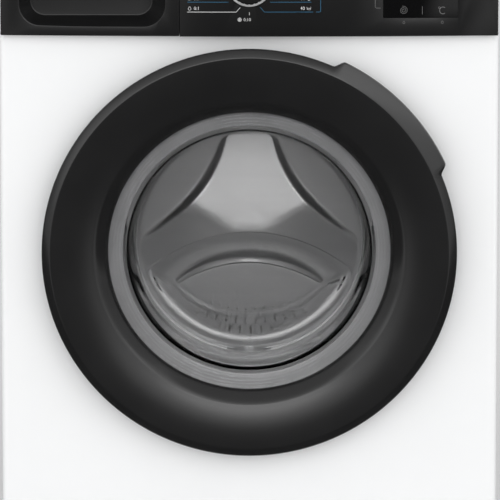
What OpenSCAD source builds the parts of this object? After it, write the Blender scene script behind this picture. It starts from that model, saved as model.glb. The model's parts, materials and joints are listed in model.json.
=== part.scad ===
// Front loading washing machine, built as an assembly of separate pieces.
// Millimetres. +Z is up, the front faces -Y, and the origin is at the bottom centre of the bounding box.
// Round pieces of the door, tub and drum are drawn as profiles of [radius, out], where out is the distance in
// front of the cabinet's front face and is negative inside the machine.

/* [Body] */
// Width of the cabinet
body_w = 600; // [580:1:640]
// Depth of the cabinet, from the front face to the rear face
body_d = 425; // [420:1:560]
// Overall height, feet and worktop included
body_h = 850; // [840:1:900]
// Thickness of the worktop
top_t = 28; // [24:1:40]
// Height of the cabinet's lower edge above the floor
floor_gap = 22; // [20:1:34]
// Thickness of the painted steel sheet
sheet_t = 1; // [0.8:0.1:1.6]
// Radius of the vertical front edges
edge_r = 6; // [3:0.5:10]
// Height of the plinth's upper edge above the floor
plinth_top = 100; // [96:1:115]

/* [Control panel] */
// Height of the fascia
panel_h = 132; // [126:1:140]
// How far the ends of the fascia stand in front of the cabinet face
panel_out = 10; // [8:0.5:14]
// How much further the middle of the fascia bows out
panel_bow = 8; // [2:0.5:10]
// Width of the detergent drawer's front
drawer_w = 214; // [180:1:230]
// Depth of the detergent drawer's tray
tray_d = 205; // [190:1:215]
// Outer radius of the knob's ring
knob_r = 27; // [20:0.5:30]
// How far the knob stands in front of the fascia
knob_h = 17; // [12:0.5:18]

/* [Door] */
// Outer radius of the door
door_r = 250; // [235:1:255]
// Height of the door's centre above the floor
door_z = 427; // [420:1:440]
// How far the door stands in front of the cabinet face
door_out = 37; // [34:0.5:42]
// Radius of the glass that shows in the door
glass_r = 170; // [160:1:174]
// Thickness of the glass
glass_t = 5; // [4:0.5:6]
// How far the grip stands out of the door's rim
grip_out = 10; // [6:0.5:14]
// Angle at which the grip begins, from the horizontal
grip_from = 22.5; // [15:0.5:40]
// Angle at which the grip ends
grip_to = 66.3; // [50:0.5:80]

/* [Drum and tub] */
// Inner radius of the drum
drum_r = 237; // [225:1:238]
// Depth of the drum from its front lip to its back
drum_d = 262; // [255:1:380]
// Radius of the mouth of the drum
mouth_r = 163; // [158:1:166]
// Gap between the drum and the tub
drum_gap = 15; // [14:0.5:18]
// Wall of the plastic tub
tub_t = 3; // [2.5:0.5:4]
// Height of each lifter inside the drum
lifter_h = 44; // [30:1:50]
// Radius of the drum's pulley
pulley_r = 140; // [120:1:150]
// Radius of the motor's pulley
motor_pulley_r = 10; // [8:0.5:14]

/* [Hidden] */
$fn = 96;
rear_out = 12;              // how far the rear fittings stand behind the cabinet
play = 0.3;                 // clearance between pieces that are fitted together
cut = 1;                    // how far a cutting solid runs past what it cuts

face_y = -(body_d + rear_out - door_out) / 2;   // the cabinet's front face
back_y = face_y + body_d;                       // the cabinet's rear face
half_w = body_w / 2;
cab_top = body_h - top_t;
fascia_z = cab_top - panel_h;                   // lower edge of the fascia
return_d = 18;                                  // depth of the front panel's side returns

// Sub-modules shared by several pieces

// Turns a profile of [radius, out] about the common axis of the door and the drum
module turned(angle = 360, start = 0) {
    translate([0, face_y, door_z]) rotate([90, 0, 0]) rotate([0, 0, start])
        rotate_extrude(angle = angle, $fn = 128) children();
}
// Places a solid drawn with z as the distance in front of the cabinet face, and y as height
module on_face(x = 0, z = 0, out = 0) {
    translate([x, face_y - out, z]) rotate([90, 0, 0]) children();
}
// A disc or tube along the front to back direction, from out a to out b
module rod_y(x, z, a, b, r) {
    on_face(x, z, a) cylinder(h = b - a, r = r);
}
module box(lo, hi) {
    translate(lo) cube(hi - lo);
}
// A rectangle with rounded corners, from lo to hi
module rounded_rect(lo, hi, r) {
    translate([lo.x + r, lo.y]) square([hi.x - lo.x - 2 * r, hi.y - lo.y]);
    translate([lo.x, lo.y + r]) square([hi.x - lo.x, hi.y - lo.y - 2 * r]);
    for (x = [lo.x + r, hi.x - r], y = [lo.y + r, hi.y - r]) translate([x, y]) circle(r = r, $fn = 48);
}
function arc(c, r, a0, a1, n) = [for (i = [0:n]) let (a = a0 + (a1 - a0) * i / n) c + r * [cos(a), sin(a)]];

// A closed tube or rod that follows the points of a path
function unit(v) = v / norm(v);
function tangent(p, i) = unit(p[min(i + 1, len(p) - 1)] - p[max(i - 1, 0)]);
function side_of(t) = unit(cross(t, abs(t.x) < 0.8 ? [1, 0, 0] : [0, 1, 0]));
function carried(t, s) = unit(s - (s * t) * t);
function sides(p, i = 0, s = undef, out = []) =
    i == len(p) ? out :
    let (t = tangent(p, i), now = i == 0 ? side_of(t) : carried(t, s))
    sides(p, i + 1, now, concat(out, [now]));
module sweep(path, r, n = 8) {
    s = sides(path);
    points = [for (i = [0:len(path) - 1], k = [0:n - 1])
        let (t = tangent(path, i), a = 360 * k / n)
        path[i] + r * (cos(a) * s[i] + sin(a) * cross(t, s[i]))];
    walls = [for (i = [0:len(path) - 2], k = [0:n - 1])
        let (a = i * n + k, b = i * n + (k + 1) % n) each [[a, a + n, b + n], [a, b + n, b]]];
    ends = [[for (k = [0:n - 1]) k], [for (k = [n - 1:-1:0]) (len(path) - 1) * n + k]];
    polyhedron(points, concat(walls, ends), convexity = 10);
}
// Points of a smooth curve through hand placed points, by Catmull and Rom's rule
function spline(p, n) = concat([for (i = [0:len(p) - 2], k = [0:n - 1])
    let (t = k / n, a = p[max(i - 1, 0)], b = p[i], c = p[i + 1], d = p[min(i + 2, len(p) - 1)])
    0.5 * (2 * b + (c - a) * t + (2 * a - 5 * b + 4 * c - d) * t * t + (3 * b - a - 3 * c + d) * t * t * t)],
    [p[len(p) - 1]]);

// Cabinet

rear_margin = 56;           // width of the wrap's rear flanges
rear_head = 52;             // height of the wrap above its rear opening
anchor_x = half_w - 28;     // the suspension springs' distance from the middle
spring_out = -(tray_d + 45); // the springs' and dampers' place from front to back
anchor_z = cab_top - 32;
emboss = 3;                 // depth of the stiffening field pressed into each side
module side_emboss(side, depth) {
    y0 = face_y + 60;
    y1 = back_y - 45;
    hull() for (s = [0, 1])
        translate([side * (half_w - s * depth + (1 - s) * 0.01), 0, 0]) rotate([90, 0, 90])
            translate([0, 0, -0.01]) linear_extrude(0.02)
                rounded_rect([y0 + 12 * s, 130 + 12 * s], [y1 - 12 * s, cab_top - 110 - 12 * s], 24 - 8 * s, $fn = 32);
}
module cabinet_wrap() color("white") {
    difference() {
        union() {
            difference() {
                box([-half_w, face_y + return_d + play, floor_gap], [half_w, back_y, cab_top]);
                box([-half_w + sheet_t, face_y, floor_gap - cut], [half_w - sheet_t, back_y - sheet_t, cab_top + cut]);
                box([-half_w + rear_margin, back_y - 5, plinth_top],
                    [half_w - rear_margin, back_y + 5, cab_top - rear_head]);
            }
            for (s = [-1, 1]) {
                intersection() {
                    side_emboss(s, emboss + sheet_t);
                    box([-half_w, face_y, 0], [half_w, back_y, cab_top]);
                }
                // shelf that carries the spring
                box([min(s * (half_w - sheet_t), s * (anchor_x - 16)), face_y - spring_out - 20, anchor_z],
                    [max(s * (half_w - sheet_t), s * (anchor_x - 16)), face_y - spring_out + 20, anchor_z + 3]);
            }
        }
        for (s = [-1, 1]) {
            side_emboss(s, emboss);
            translate([s * anchor_x, face_y - spring_out, anchor_z - cut]) cylinder(h = 6, r = spring_wire + play, $fn = 32);
        }
        for (x = [-1, 1], z = [cab_top - 60, 150])
            rod_y(x * (half_w - 24), z, -body_d - cut, -body_d + 3, transit_hole_r);
        rod_y(valve_x, valve_z, -body_d - cut, -body_d + 3, valve_r + 1);
        rod_y(gland_x, gland_z, -body_d - cut, -body_d + 3, 7.5);
        rod_y(outlet.x, outlet.y, -body_d - cut, -body_d + 3, outlet_r + 1);
    }
}

dish_r = door_r - 28;       // radius of the dished field behind the door
dish_d = 8;                 // its depth
lip_r = glass_r - 3;        // radius of the turned lip that holds the gasket
module front_sheet(z0, z1) {
    // a shallow tray of sheet with rounded vertical edges, open at the back
    difference() {
        translate([0, 0, z0]) linear_extrude(z1 - z0) intersection() {
            rounded_rect([-half_w, face_y], [half_w, face_y + 3 * return_d], edge_r);
            translate([-half_w, face_y]) square([body_w, return_d]);
        }
        translate([0, 0, z0 + sheet_t]) linear_extrude(z1 - z0 - 2 * sheet_t)
            rounded_rect([sheet_t - half_w, face_y + sheet_t], [half_w - sheet_t, face_y + 3 * return_d], edge_r - sheet_t);
        box([16 - half_w, face_y + sheet_t, z0 - cut], [half_w - 16, face_y + return_d + cut, z1 + cut]);
    }
}
slot_half = 8;              // half height of the hook's slot
module front_panel() color("white") {
    difference() {
        front_sheet(plinth_top + play, fascia_z - 0.8);
        rod_y(0, door_z, -5, 5, dish_r);
    }
    difference() {
        turned() polygon([
            [dish_r + 1, 0], [dish_r, 0], [dish_r - dish_d, -dish_d], [lip_r + 1.5, -dish_d],
            [lip_r, -dish_d - 1.5], [lip_r, -dish_d - 9], [lip_r + sheet_t, -dish_d - 9],
            [lip_r + sheet_t, -dish_d - 1.5], [lip_r + 1.9, -dish_d - sheet_t],
            [dish_r - dish_d + 0.4, -dish_d - sheet_t], [dish_r + 0.4, -sheet_t], [dish_r + 1, -sheet_t]]);
        box([hook_x - 11, face_y + 5, door_z - slot_half], [hook_x + 13, face_y + 12, door_z + slot_half]);
    }
}

module rear_cover() color("lightgrey") {
    x = half_w - rear_margin + 12;
    z0 = plinth_top - 12;
    z1 = cab_top - rear_head + 12;
    difference() {
        union() {
            box([-x, back_y + play / 3, z0], [x, back_y + play / 3 + sheet_t, z1]);
            // pressed field over the belt, standing out of the cover
            rod_y(0, door_z - 60, -body_d - 6, -body_d - play / 3, 190);
        }
        rod_y(0, door_z - 60, -body_d - 6 + sheet_t, -body_d + cut, 190 - sheet_t);
        for (x = [-1, 1], z = [0:5]) // air slots
            box([x * 205 - 20, back_y - 2, 640 + 14 * z], [x * 205 + 20, back_y + 5, 645 + 14 * z]);
    }
}

foot_x = half_w - 42;
foot_y = [face_y + 45, back_y - 45];
stud_r = 5;
module base_tray() color("dimgray") {
    z0 = floor_gap;
    difference() {
        union() {
            difference() {
                box([-half_w + 3, face_y + return_d + 2, z0], [half_w - 3, back_y - 3, z0 + 20]);
                box([-half_w + 6, face_y + return_d + 5, z0 + 3], [half_w - 6, back_y - 6, z0 + 21]);
            }
            for (x = [-1, 1], y = foot_y) translate([x * foot_x, y, z0]) cylinder(h = 28, r = 14);
            for (s = [-1, 1]) // damper seats
                box([s * damper_x - 20, face_y - spring_out - 20, z0 + 2], [s * damper_x + 20, face_y - spring_out + 20, z0 + 14]);
            box([pump_x - 34, face_y + 60, z0 + 2], [pump_x + 34, face_y + 110, z0 + 3.7]);   // pump seat
        }
        for (x = [-1, 1], y = foot_y) translate([x * foot_x, y, z0 - cut]) cylinder(h = 40, r = stud_r + play);
        rod_y(pump_x, pump_z, -50, -10, 31);
    }
}

flap_lo = [152, floor_gap + 8];        // lower left corner of the pump flap, x and z
flap_hi = [264, plinth_top - 8];        // upper right corner
flap_pin = [3, flap_lo.y + 4];          // its hinge: how far behind the face, and how high
flap_pin_r = 1.6;
module plinth() color("white") {
    difference() {
        front_sheet(floor_gap, plinth_top);
        box([flap_lo.x - 0.8, face_y - cut, flap_lo.y - 0.8], [flap_hi.x + 0.8, face_y + 12, flap_hi.y + 0.8]);
    }
    // pin seats of the flap
    for (x = [flap_lo.x - 5.6, flap_hi.x + 0.8]) difference() {
        box([x, face_y + sheet_t - 0.1, flap_pin.y - 6], [x + 4.8, face_y + 9, flap_pin.y + 6]);
        translate([x - cut, face_y + flap_pin.x, flap_pin.y]) rotate([0, 90, 0]) cylinder(h = 8, r = flap_pin_r + 0.05);
    }
}
module pump_flap() color("white") {
    box([flap_lo.x, face_y, flap_lo.y], [flap_hi.x, face_y + 2.5, flap_hi.y]);
    for (x = [flap_lo.x + 2, flap_hi.x - 10])
        box([x, face_y + 2, flap_lo.y + 0.5], [x + 8, face_y + 7, flap_lo.y + 5.5]);
    for (x = [flap_lo.x - 4, flap_hi.x - 10])
        translate([x, face_y + flap_pin.x, flap_pin.y]) rotate([0, 90, 0]) cylinder(h = 14, r = flap_pin_r);
    // catch at the top
    box([(flap_lo.x + flap_hi.x) / 2 - 8, face_y + 2, flap_hi.y - 6], [(flap_lo.x + flap_hi.x) / 2 + 8, face_y + 8, flap_hi.y - 3]);
}

top_front = face_y - panel_out + 2;
module worktop_frame() color("white") {
    difference() {
        box([-half_w, top_front, cab_top], [half_w, back_y, body_h]);
        box([-half_w + 12, top_front + 18, cab_top + 6], [half_w - 12, back_y - 12, body_h + cut]);
        box([-half_w + 30, top_front + 36, cab_top - cut], [half_w - 30, back_y - 30, body_h]);
    }
}
module worktop_board() color("whitesmoke") {
    box([-half_w + 12 + play, top_front + 18 + play, cab_top + 6], [half_w - 12 - play, back_y - 12 - play, body_h]);
}

// Control panel

panel_half = half_w - 2;
bow_r = (panel_half * panel_half + panel_bow * panel_bow) / (2 * panel_bow);
bow_y = face_y - panel_out - panel_bow + bow_r;     // centre of the bowed face
function bow_at(x) = sqrt(bow_r * bow_r - x * x) - bow_y + face_y;     // how far the fascia stands out at x
drawer_seam = -panel_half + drawer_w;
knob_z = fascia_z + 64;
display_lo = [160, fascia_z + 22];
display_hi = [250, fascia_z + 106];
button_x = 274;
button_z = fascia_z + 84;
button_r = 9;
skin = 3;                   // wall of the fascia
module bowed(z0, z1, x0, x1, inset = 0) {
    translate([0, 0, z0]) linear_extrude(z1 - z0) intersection() {
        translate([x0, face_y - 40]) square([x1 - x0, 40 + return_d]);
        translate([0, bow_y]) circle(r = bow_r - inset, $fn = 720);
    }
}
module control_panel() color([0.11, 0.11, 0.11]) {
    z0 = fascia_z;
    z1 = cab_top - play;
    difference() {
        bowed(z0, z1, -panel_half, panel_half);
        bowed(z0 + skin, z1 - skin, -panel_half + skin, panel_half - skin, skin);
        box([-panel_half + skin, face_y + 5, z0 + skin], [panel_half - skin, face_y + 40, z1 - skin]);
        // the drawer's front takes the place of the left part of the face
        box([-panel_half - cut, face_y - 40, z0 - cut], [drawer_seam + 0.6, face_y + 1, z1 + cut]);
        rod_y(0, knob_z, -5, 40, 4);
        box([display_lo.x, face_y - 40, display_lo.y], [display_hi.x, face_y, display_hi.y]);
        rod_y(button_x, button_z, -5, 40, button_r + 0.35);
    }
    // wall behind the drawer's front, with the drawer's opening
    difference() {
        box([-panel_half, face_y + 1, z0], [drawer_seam + 3, face_y + 4, z1]);
        box([tray_lo.x - 2, face_y, grip_lo.y + 2], [tray_hi.x + 2, face_y + 5, grip_hi.y + 2]);
    }
    // wall between the drawer and the electronics
    box([drawer_seam + 0.6, face_y - bow_at(drawer_seam) + 1, z0 + 1], [drawer_seam + 3.4, face_y + 4, z1 - 1]);
}
module display_window() color("black") {
    difference() {
        bowed(display_lo.y + 0.2, display_hi.y - 0.2, display_lo.x + 0.2, display_hi.x - 0.2, 0.1);
        bowed(display_lo.y - cut, display_hi.y + cut, display_lo.x - cut, display_hi.x + cut, skin);
        box([display_lo.x - cut, face_y + 1, display_lo.y - cut], [display_hi.x + cut, face_y + 40, display_hi.y + cut]);
    }
}
module programme_knob() color([0.12, 0.12, 0.12]) {
    out = bow_at(0) + 0.4;
    difference() {
        union() {
            rod_y(0, knob_z, out, out + knob_h - 2, knob_r - 4.2);
            on_face(0, knob_z, out + knob_h - 2) cylinder(h = 2, r1 = knob_r - 4.2, r2 = knob_r - 6.2);
            rod_y(0, knob_z, 3.7, out + 1, 3);
        }
        for (a = [0:15:345]) // grip flutes
            translate([0, 0, knob_z]) rotate([0, a, 0]) translate([0, 0, -knob_z])
                rod_y(knob_r - 3.4, knob_z, out + 6, out + knob_h + cut, 1.6);
        rod_y(0, knob_z + knob_r - 11, out + knob_h - 0.8, out + knob_h + cut, 1.6); // pointer dimple
    }
}
module knob_ring() color("silver") {
    out = bow_at(knob_r) + 0.7;
    difference() {
        union() {
            rod_y(0, knob_z, out, out + 4.5, knob_r);
            on_face(0, knob_z, out + 4.5) cylinder(h = 1.2, r1 = knob_r, r2 = knob_r - 1.2);
        }
        rod_y(0, knob_z, out - cut, out + 8, knob_r - 4);
    }
}
module start_button() color([0.15, 0.15, 0.15]) {
    out = bow_at(button_x);
    rod_y(button_x, button_z, out - 6, out + 1.6, button_r);
    rod_y(button_x, button_z, -1 + 2.2, out - 5, 3);
}
module control_board() color("darkgreen") {
    box([-60, face_y + 1, fascia_z + 20], [288, face_y + 2.6, fascia_z + 112]);
    rod_y(0, knob_z, -1.5, 3.4, 7);                                       // rotary encoder
    box([170, face_y - 4, display_lo.y + 8], [240, face_y + 1.2, display_hi.y - 8]);   // display module
    for (i = [0:2]) box([40 + 34 * i, face_y + 2.5, fascia_z + 40], [60 + 34 * i, face_y + 13, fascia_z + 60]);
    for (i = [0:3]) on_face(50 + 26 * i, fascia_z + 88, -14) cylinder(h = 11.6, r = 6, $fn = 32);
}

// Detergent drawer

tray_lo = [11 - panel_half, fascia_z + 26];     // lower left corner of the tray, x and z
tray_hi = [drawer_seam - 12, fascia_z + 96];
grip_lo = [-panel_half + 20, fascia_z + 12];      // mouth of the drawer's grip recess
grip_hi = [drawer_seam - 17, fascia_z + 112];
grip_d = 19;                // depth of the recess
slope_w = 15.5;             // width of the recess's sloping rim
module recess(grow) {
    hull() {
        on_face(0, 0, 14 + grow) linear_extrude(6) rounded_rect(grip_lo - grow * [1, 1], grip_hi + grow * [1, 1], 26, $fn = 32);
        on_face(0, 0, bow_at(grip_lo.x) - grip_d - grow) linear_extrude(1)
            rounded_rect(grip_lo + (slope_w - grow) * [1, 0.62], grip_hi - (slope_w - grow) * [1, 0.3], 18, $fn = 32);
    }
}
module drawer_front() color([0.11, 0.11, 0.11]) {
    z0 = fascia_z + 0.3;
    z1 = cab_top - 0.8;
    x0 = -panel_half;
    x1 = drawer_seam;
    difference() {
        union() {
            difference() {
                bowed(z0, z1, x0, x1);
                bowed(z0 + skin, z1 - skin, x0 + skin, x1 - skin, skin);
                box([x0 - cut, face_y, z0 - cut], [x1 + cut, face_y + 40, z1 + cut]);
            }
            intersection() {
                recess(2.5);
                bowed(z0, z1, x0, x1);
            }
            box([x0 + 2, face_y - 2, z0 + 2], [x1 - 2, face_y, z1 - 2]);      // back plate that carries the tray
        }
        recess(0);
    }
}
module detergent_drawer() color("gainsboro") {
    lo = tray_lo;
    hi = tray_hi;
    y0 = face_y + play / 2;
    third = (hi.x - lo.x) / 3;
    difference() {
        box([lo.x, y0, lo.y], [hi.x, y0 + tray_d, hi.y]);
        recess(2.5 + play);
        box([lo.x + 2, y0 + 12, lo.y + 4], [lo.x + third - 1, y0 + tray_d - 2, hi.y + cut]);
        box([lo.x + third + 1, y0 + 12, lo.y + 14], [lo.x + 2 * third - 1, y0 + tray_d * 0.62, hi.y + cut]);
        box([lo.x + 2 * third + 1, y0 + 12, lo.y + 4], [hi.x - 2, y0 + tray_d - 2, hi.y + cut]);
    }
}
module softener_siphon() color("steelblue") {
    third = (tray_hi.x - tray_lo.x) / 3;
    x0 = tray_lo.x + third + 1 + play;
    x1 = tray_lo.x + 2 * third - 1 - play;
    y0 = face_y + tray_d * 0.38;
    box([x0, y0, tray_hi.y - 12], [x1, y0 + tray_d * 0.24 - play, tray_hi.y - 9]);
    translate([(x0 + x1) / 2, y0 + 20, tray_lo.y + 14.3]) cylinder(h = tray_hi.y - tray_lo.y - 25, r = 6, $fn = 48);
}
housing_out = -14;
module dispenser_housing() color("whitesmoke") {
    lo = tray_lo - [4, 6];
    hi = tray_hi + [4, 8];
    y0 = face_y - housing_out;
    y1 = face_y + tray_d + 20;
    difference() {
        union() {
            box([lo.x, y0, lo.y], [hi.x, y1, hi.y]);
            translate([dispenser_at.x, dispenser_at.y, lo.y - 16]) cylinder(h = 17, r = 15);
        }
        box([lo.x + 2.5, y0 - cut, lo.y + 2.5], [hi.x - 2.5, y1 - 2.5, hi.y - 2.5]);
        translate([dispenser_at.x, dispenser_at.y, lo.y - 17]) cylinder(h = 21, r = 12.5);
    }
    // runner under the tray
    box([lo.x + 30, y0 + 4, lo.y + 2.4], [lo.x + 34, y1 - 30, tray_lo.y - 0.3]);
    box([hi.x - 34, y0 + 4, lo.y + 2.4], [hi.x - 30, y1 - 30, tray_lo.y - 0.3]);
}

// Rear and lower fittings

valve_x = -255 + 30;
valve_z = cab_top - 17;
valve_r = 13.2;
gland_x = -half_w + 22;
gland_z = cab_top - 110;
outlet = [half_w - 24, 700];
outlet_r = 10.5;
module inlet_valve() color("white") {
    difference() {
        union() {
            rod_y(valve_x, valve_z, -body_d - rear_out, -body_d + 6, valve_r);
            rod_y(valve_x, valve_z, -body_d + sheet_t + play, -body_d + 9, 17);
        }
        rod_y(valve_x, valve_z, -body_d - rear_out - cut, -body_d - 2, 9);
    }
    box([valve_x - 16, back_y - 48, valve_z - 15], [valve_x + 16, back_y - 8.5, valve_z + 13]);
    translate([valve_x, back_y - 30, valve_z - 48]) cylinder(h = 34, r = 15);     // coil
}
module power_gland() color("dimgray") {
    difference() {
        union() {
            rod_y(gland_x, gland_z, -body_d - 6, -body_d, 10);
            rod_y(gland_x, gland_z, -body_d - cut, -body_d + 8, 7.2);
        }
        rod_y(gland_x, gland_z, -body_d - 8, -body_d + 9, 3.8);
    }
}
transit_hole_r = 8;
module transit_caps() color("dimgray") {
    for (x = [-1, 1], z = [cab_top - 60, 150]) {
        rod_y(x * (half_w - 24), z, -body_d - 3.5, -body_d - play / 3, 12);
        rod_y(x * (half_w - 24), z, -body_d - 1, -body_d + 6, transit_hole_r - play);
    }
}
module foot_locknuts() color("silver") {
    for (x = [-1, 1], y = foot_y) difference() {
        translate([x * foot_x, y, floor_gap - 7]) cylinder(h = 7, r = 9.8, $fn = 6);
        translate([x * foot_x, y, floor_gap - 8]) cylinder(h = 9, r = stud_r + play, $fn = 48);
    }
}
module foot(x, y) color("dimgray") {
    translate([x * foot_x, y, 0]) {
        cylinder(h = 3, r1 = 20, r2 = 22);
        translate([0, 0, 3]) cylinder(h = 5, r = 22);
        translate([0, 0, 8]) cylinder(h = 4, r1 = 16, r2 = 9);
        translate([0, 0, 11]) cylinder(h = 32, r = stud_r, $fn = 48);
    }
}
module cabinet_screws() color("silver") {
    x = half_w - rear_margin + 6;
    for (s = [-1, 1], z = [plinth_top + 20, 330, 560, cab_top - rear_head - 20])
        rod_y(s * x, z, -body_d - 3.6, -body_d - sheet_t - play / 3, 4.5);
    for (s = [-1, 1], y = [face_y + 60, back_y - 40]) // under the worktop
        translate([s * (half_w - 7), y, cab_top - 3.2]) cylinder(h = 3, r = 4, $fn = 32);
}

pump_x = 206;
pump_z = floor_gap + 40;
module drain_pump() color("dimgray") {
    difference() {
        union() {
            rod_y(pump_x, pump_z, -78, -16, 30);
            rod_y(pump_x, pump_z, -100, -76, 36);
            rod_y(pump_x + 27, pump_z + 14, -128, -98, 9);     // spigot for the drain hose
        }
        rod_y(pump_x, pump_z, -82, -11, 27);
        rod_y(pump_x, pump_z, -96, -80, 32);
    }
    rod_y(pump_x, pump_z, -165, -99, 20);        // pump motor
    difference() { // inlet for the sump hose
        translate([pump_x - 18, face_y + 88, pump_z + 26]) cylinder(h = 26, r = 15);
        translate([pump_x - 18, face_y + 88, pump_z + 20]) cylinder(h = 33, r = 12);
        rod_y(pump_x, pump_z, -104, -72, 32);
    }
}
module pump_filter() color("steelblue") {
    rod_y(pump_x, pump_z, -15.7, -12, 29);
    rod_y(pump_x, pump_z, -30, -15, 26.7);
    box([pump_x - 22, face_y + 9, pump_z - 3.5], [pump_x + 22, face_y + 12.5, pump_z + 3.5]);
    rod_y(pump_x, pump_z, -70, -29, 6);
    for (a = [0:45:315]) // strainer bars
        rod_y(pump_x + 22 * cos(a), pump_z + 22 * sin(a), -70, -29, 2.2);
    rod_y(pump_x, pump_z, -71, -68, 25);
}
drain_points = [[pump_x + 27, face_y + 128.3, pump_z + 14], [pump_x + 27, face_y + 134, pump_z + 14],
    [pump_x + 27, face_y + 140, pump_z + 14], [pump_x + 42, face_y + 172, pump_z + 15],
    [pump_x + 64, face_y + 212, pump_z + 18], [pump_x + 68, back_y - 60, pump_z + 22],
    [pump_x + 68, back_y - 26, pump_z + 44], [pump_x + 68, back_y - 20, pump_z + 110], [pump_x + 66, back_y - 20, 400],
    [outlet.x, back_y - 20, 640], [outlet.x, back_y - 22, outlet.y - 22], [outlet.x, back_y - 10, outlet.y - 3],
    [outlet.x, back_y - 2, outlet.y]];
module drain_hose() color("lightgrey") {
    sweep(spline(drain_points, 5), 9, 10);
    difference() { // outlet spigot
        rod_y(outlet.x, outlet.y, -body_d - rear_out, -body_d + 2.5, outlet_r);
        rod_y(outlet.x, outlet.y, -body_d - rear_out - cut, -body_d, 8);
    }
}

// Door

hinge_x = 12 - door_r;      // the hinge's vertical axis
hinge_out = 19;
hook_x = dish_r - 23;
hook_pin_r = 2.5;
face_r = glass_r + 18;      // where the steep inner wall turns into the broad face
bowl_r = glass_r - 21;      // radius of the glass bowl where it leaves its flange
flange_r = glass_r + 8;     // radius of the glass flange
boss_at = (door_r + glass_r) / 2 + 4;   // where the screw bosses stand
crease_r = door_r - 9.5;    // where the outer band begins
wall = 3;                   // wall of the door's rings
function face_out(r) = door_out - 6.8 * pow((crease_r - r) / (crease_r - face_r), 2);
module ring_profile() {
    outer = concat(
        [[glass_r, 14], [glass_r + 1.5, 17.5], [glass_r + 13, 27.6]],
        [for (i = [0:9]) let (r = face_r - 2 + (crease_r - face_r + 2) * i / 9) [r, face_out(r) - (i == 0 ? 0.6 : 0)]],
        [[door_r - 0.6, door_out - 6], [door_r, door_out - 7.5], [door_r, door_out - 9], [door_r - 8, 5]]);
    inner = concat(
        [[door_r - 8 - wall, 5], [door_r - wall, door_out - 10], [crease_r - 1, door_out - 4]],
        [for (i = [8:-1:1]) let (r = face_r + (crease_r - face_r) * i / 9) [r + 1, face_out(r) - wall]],
        [[glass_r + 14.5, 24], [glass_r + 8.5, 18.5], [glass_r + 8.5, 14]]);
    polygon(concat(outer, inner));
}
module hinge_pocket() {
    box([-door_r - 5, face_y - 27.5, door_z - 46], [hinge_x + 12, face_y + 5, door_z + 46]);
}
module door_outer_ring() color([0.1, 0.1, 0.1]) {
    difference() {
        union() {
            turned() ring_profile();
            turned(grip_to - grip_from, grip_from) polygon([[crease_r - 1.5, door_out - 3.2], [crease_r, door_out],
                [door_r + grip_out - 1, door_out - 8], [door_r + grip_out, door_out - 9.5],
                [door_r + grip_out, door_out - 13], [door_r - 3.5, door_out - 12]]);
        }
        hinge_pocket();
    }
}
module door_inner_ring() color([0.2, 0.2, 0.2]) {
    difference() {
        union() {
            turned() polygon([[bowl_r + 4, 3], [door_r - 11.3, 3], [door_r - 11.3, 6], [glass_r + 17, 6],
                [glass_r + 17, 21.5], [glass_r + 13, 21.5], [glass_r + 13, 8.2], [bowl_r + 4, 8.2]]);
            for (a = [20:40:340]) if (abs(a - 180) > 15) // screw bosses
                turned_boss(a, boss_at, 5.5, face_out(boss_at) - wall - 0.9, 5);
            for (z = [-1, 1]) // ears of the hook
                box([hook_x - 6, face_y - 20, door_z + z * 9.5 - 2], [hook_x + 8, face_y - 5, door_z + z * 9.5 + 2]);
        }
        box([-door_r, face_y - 10, door_z - 46], [hinge_x + 12, face_y, door_z + 46]);
        box([hook_x - 14, face_y - 10, door_z - 7.3], [hook_x + 12, face_y, door_z + 7.3]);
        translate([hook_x + 1, face_y - 14, door_z - 20]) cylinder(h = 40, r = hook_pin_r + 0.05, $fn = 48);
        for (z = [-1, 1]) // slots for the bracket's arms
            box([hinge_x + 6, face_y - 12, door_z + z * 31.5 - 3], [hinge_x + 62, face_y - 2, door_z + z * 31.5 + 3]);
    }
}
module turned_boss(a, r, from, to, boss_r) {
    rod_y(r * cos(a), door_z + r * sin(a), from, to, boss_r);
}
// The eye shaped deflector at the bottom of the bowl: two arcs that meet at its corners
function eye(half, corner_z, top_z, low_z, n = 12) = concat(
    [for (i = [0:n]) let (t = -1 + 2 * i / n) [half * t, corner_z + (top_z - corner_z) * (1 - t * t)]],
    [for (i = [1:n - 1]) let (t = 1 - 2 * i / n) [half * t, corner_z + (low_z - corner_z) * (1 - t * t)]]);
bowl_back = -60;            // the bowl's back face
bowl_end = -96;             // the deflector's end face
module deflector(grow, from, to) {
    hull() {
        on_face(0, door_z, from) linear_extrude(0.5) polygon(eye(bowl_r - 29 + grow, -42, 5 + grow, 30 - bowl_r - grow));
        on_face(0, door_z, to) linear_extrude(0.5) polygon(eye(bowl_r - 50 + grow, -64, -36 + grow, 52 - bowl_r - grow));
    }
}
module door_glass() color([0.6, 0.65, 0.68, 0.4]) {
    back = bowl_back;
    front = 8.5 + glass_t;
    corner = bowl_r - 18;
    difference() {
        union() {
            turned() polygon(concat(
                [[0, back], [corner, back]], arc([corner, back + 11], 11, -90, -8, 5),
                [[bowl_r, front - glass_t], [flange_r, front - glass_t], [flange_r, front], [glass_r, front]],
                [[bowl_r + 3, front], [bowl_r - 2, front - 1.5], [bowl_r - 4.5, front - 6]],
                arc([corner - 0.5, back + 11 + 0.5], 11 - glass_t + 0.5, -8, -90, 4), [[0, back + glass_t]]));
            deflector(0, back + 1, bowl_end);
        }
        deflector(-glass_t, back + glass_t + 1, bowl_end + glass_t);
    }
}
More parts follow.
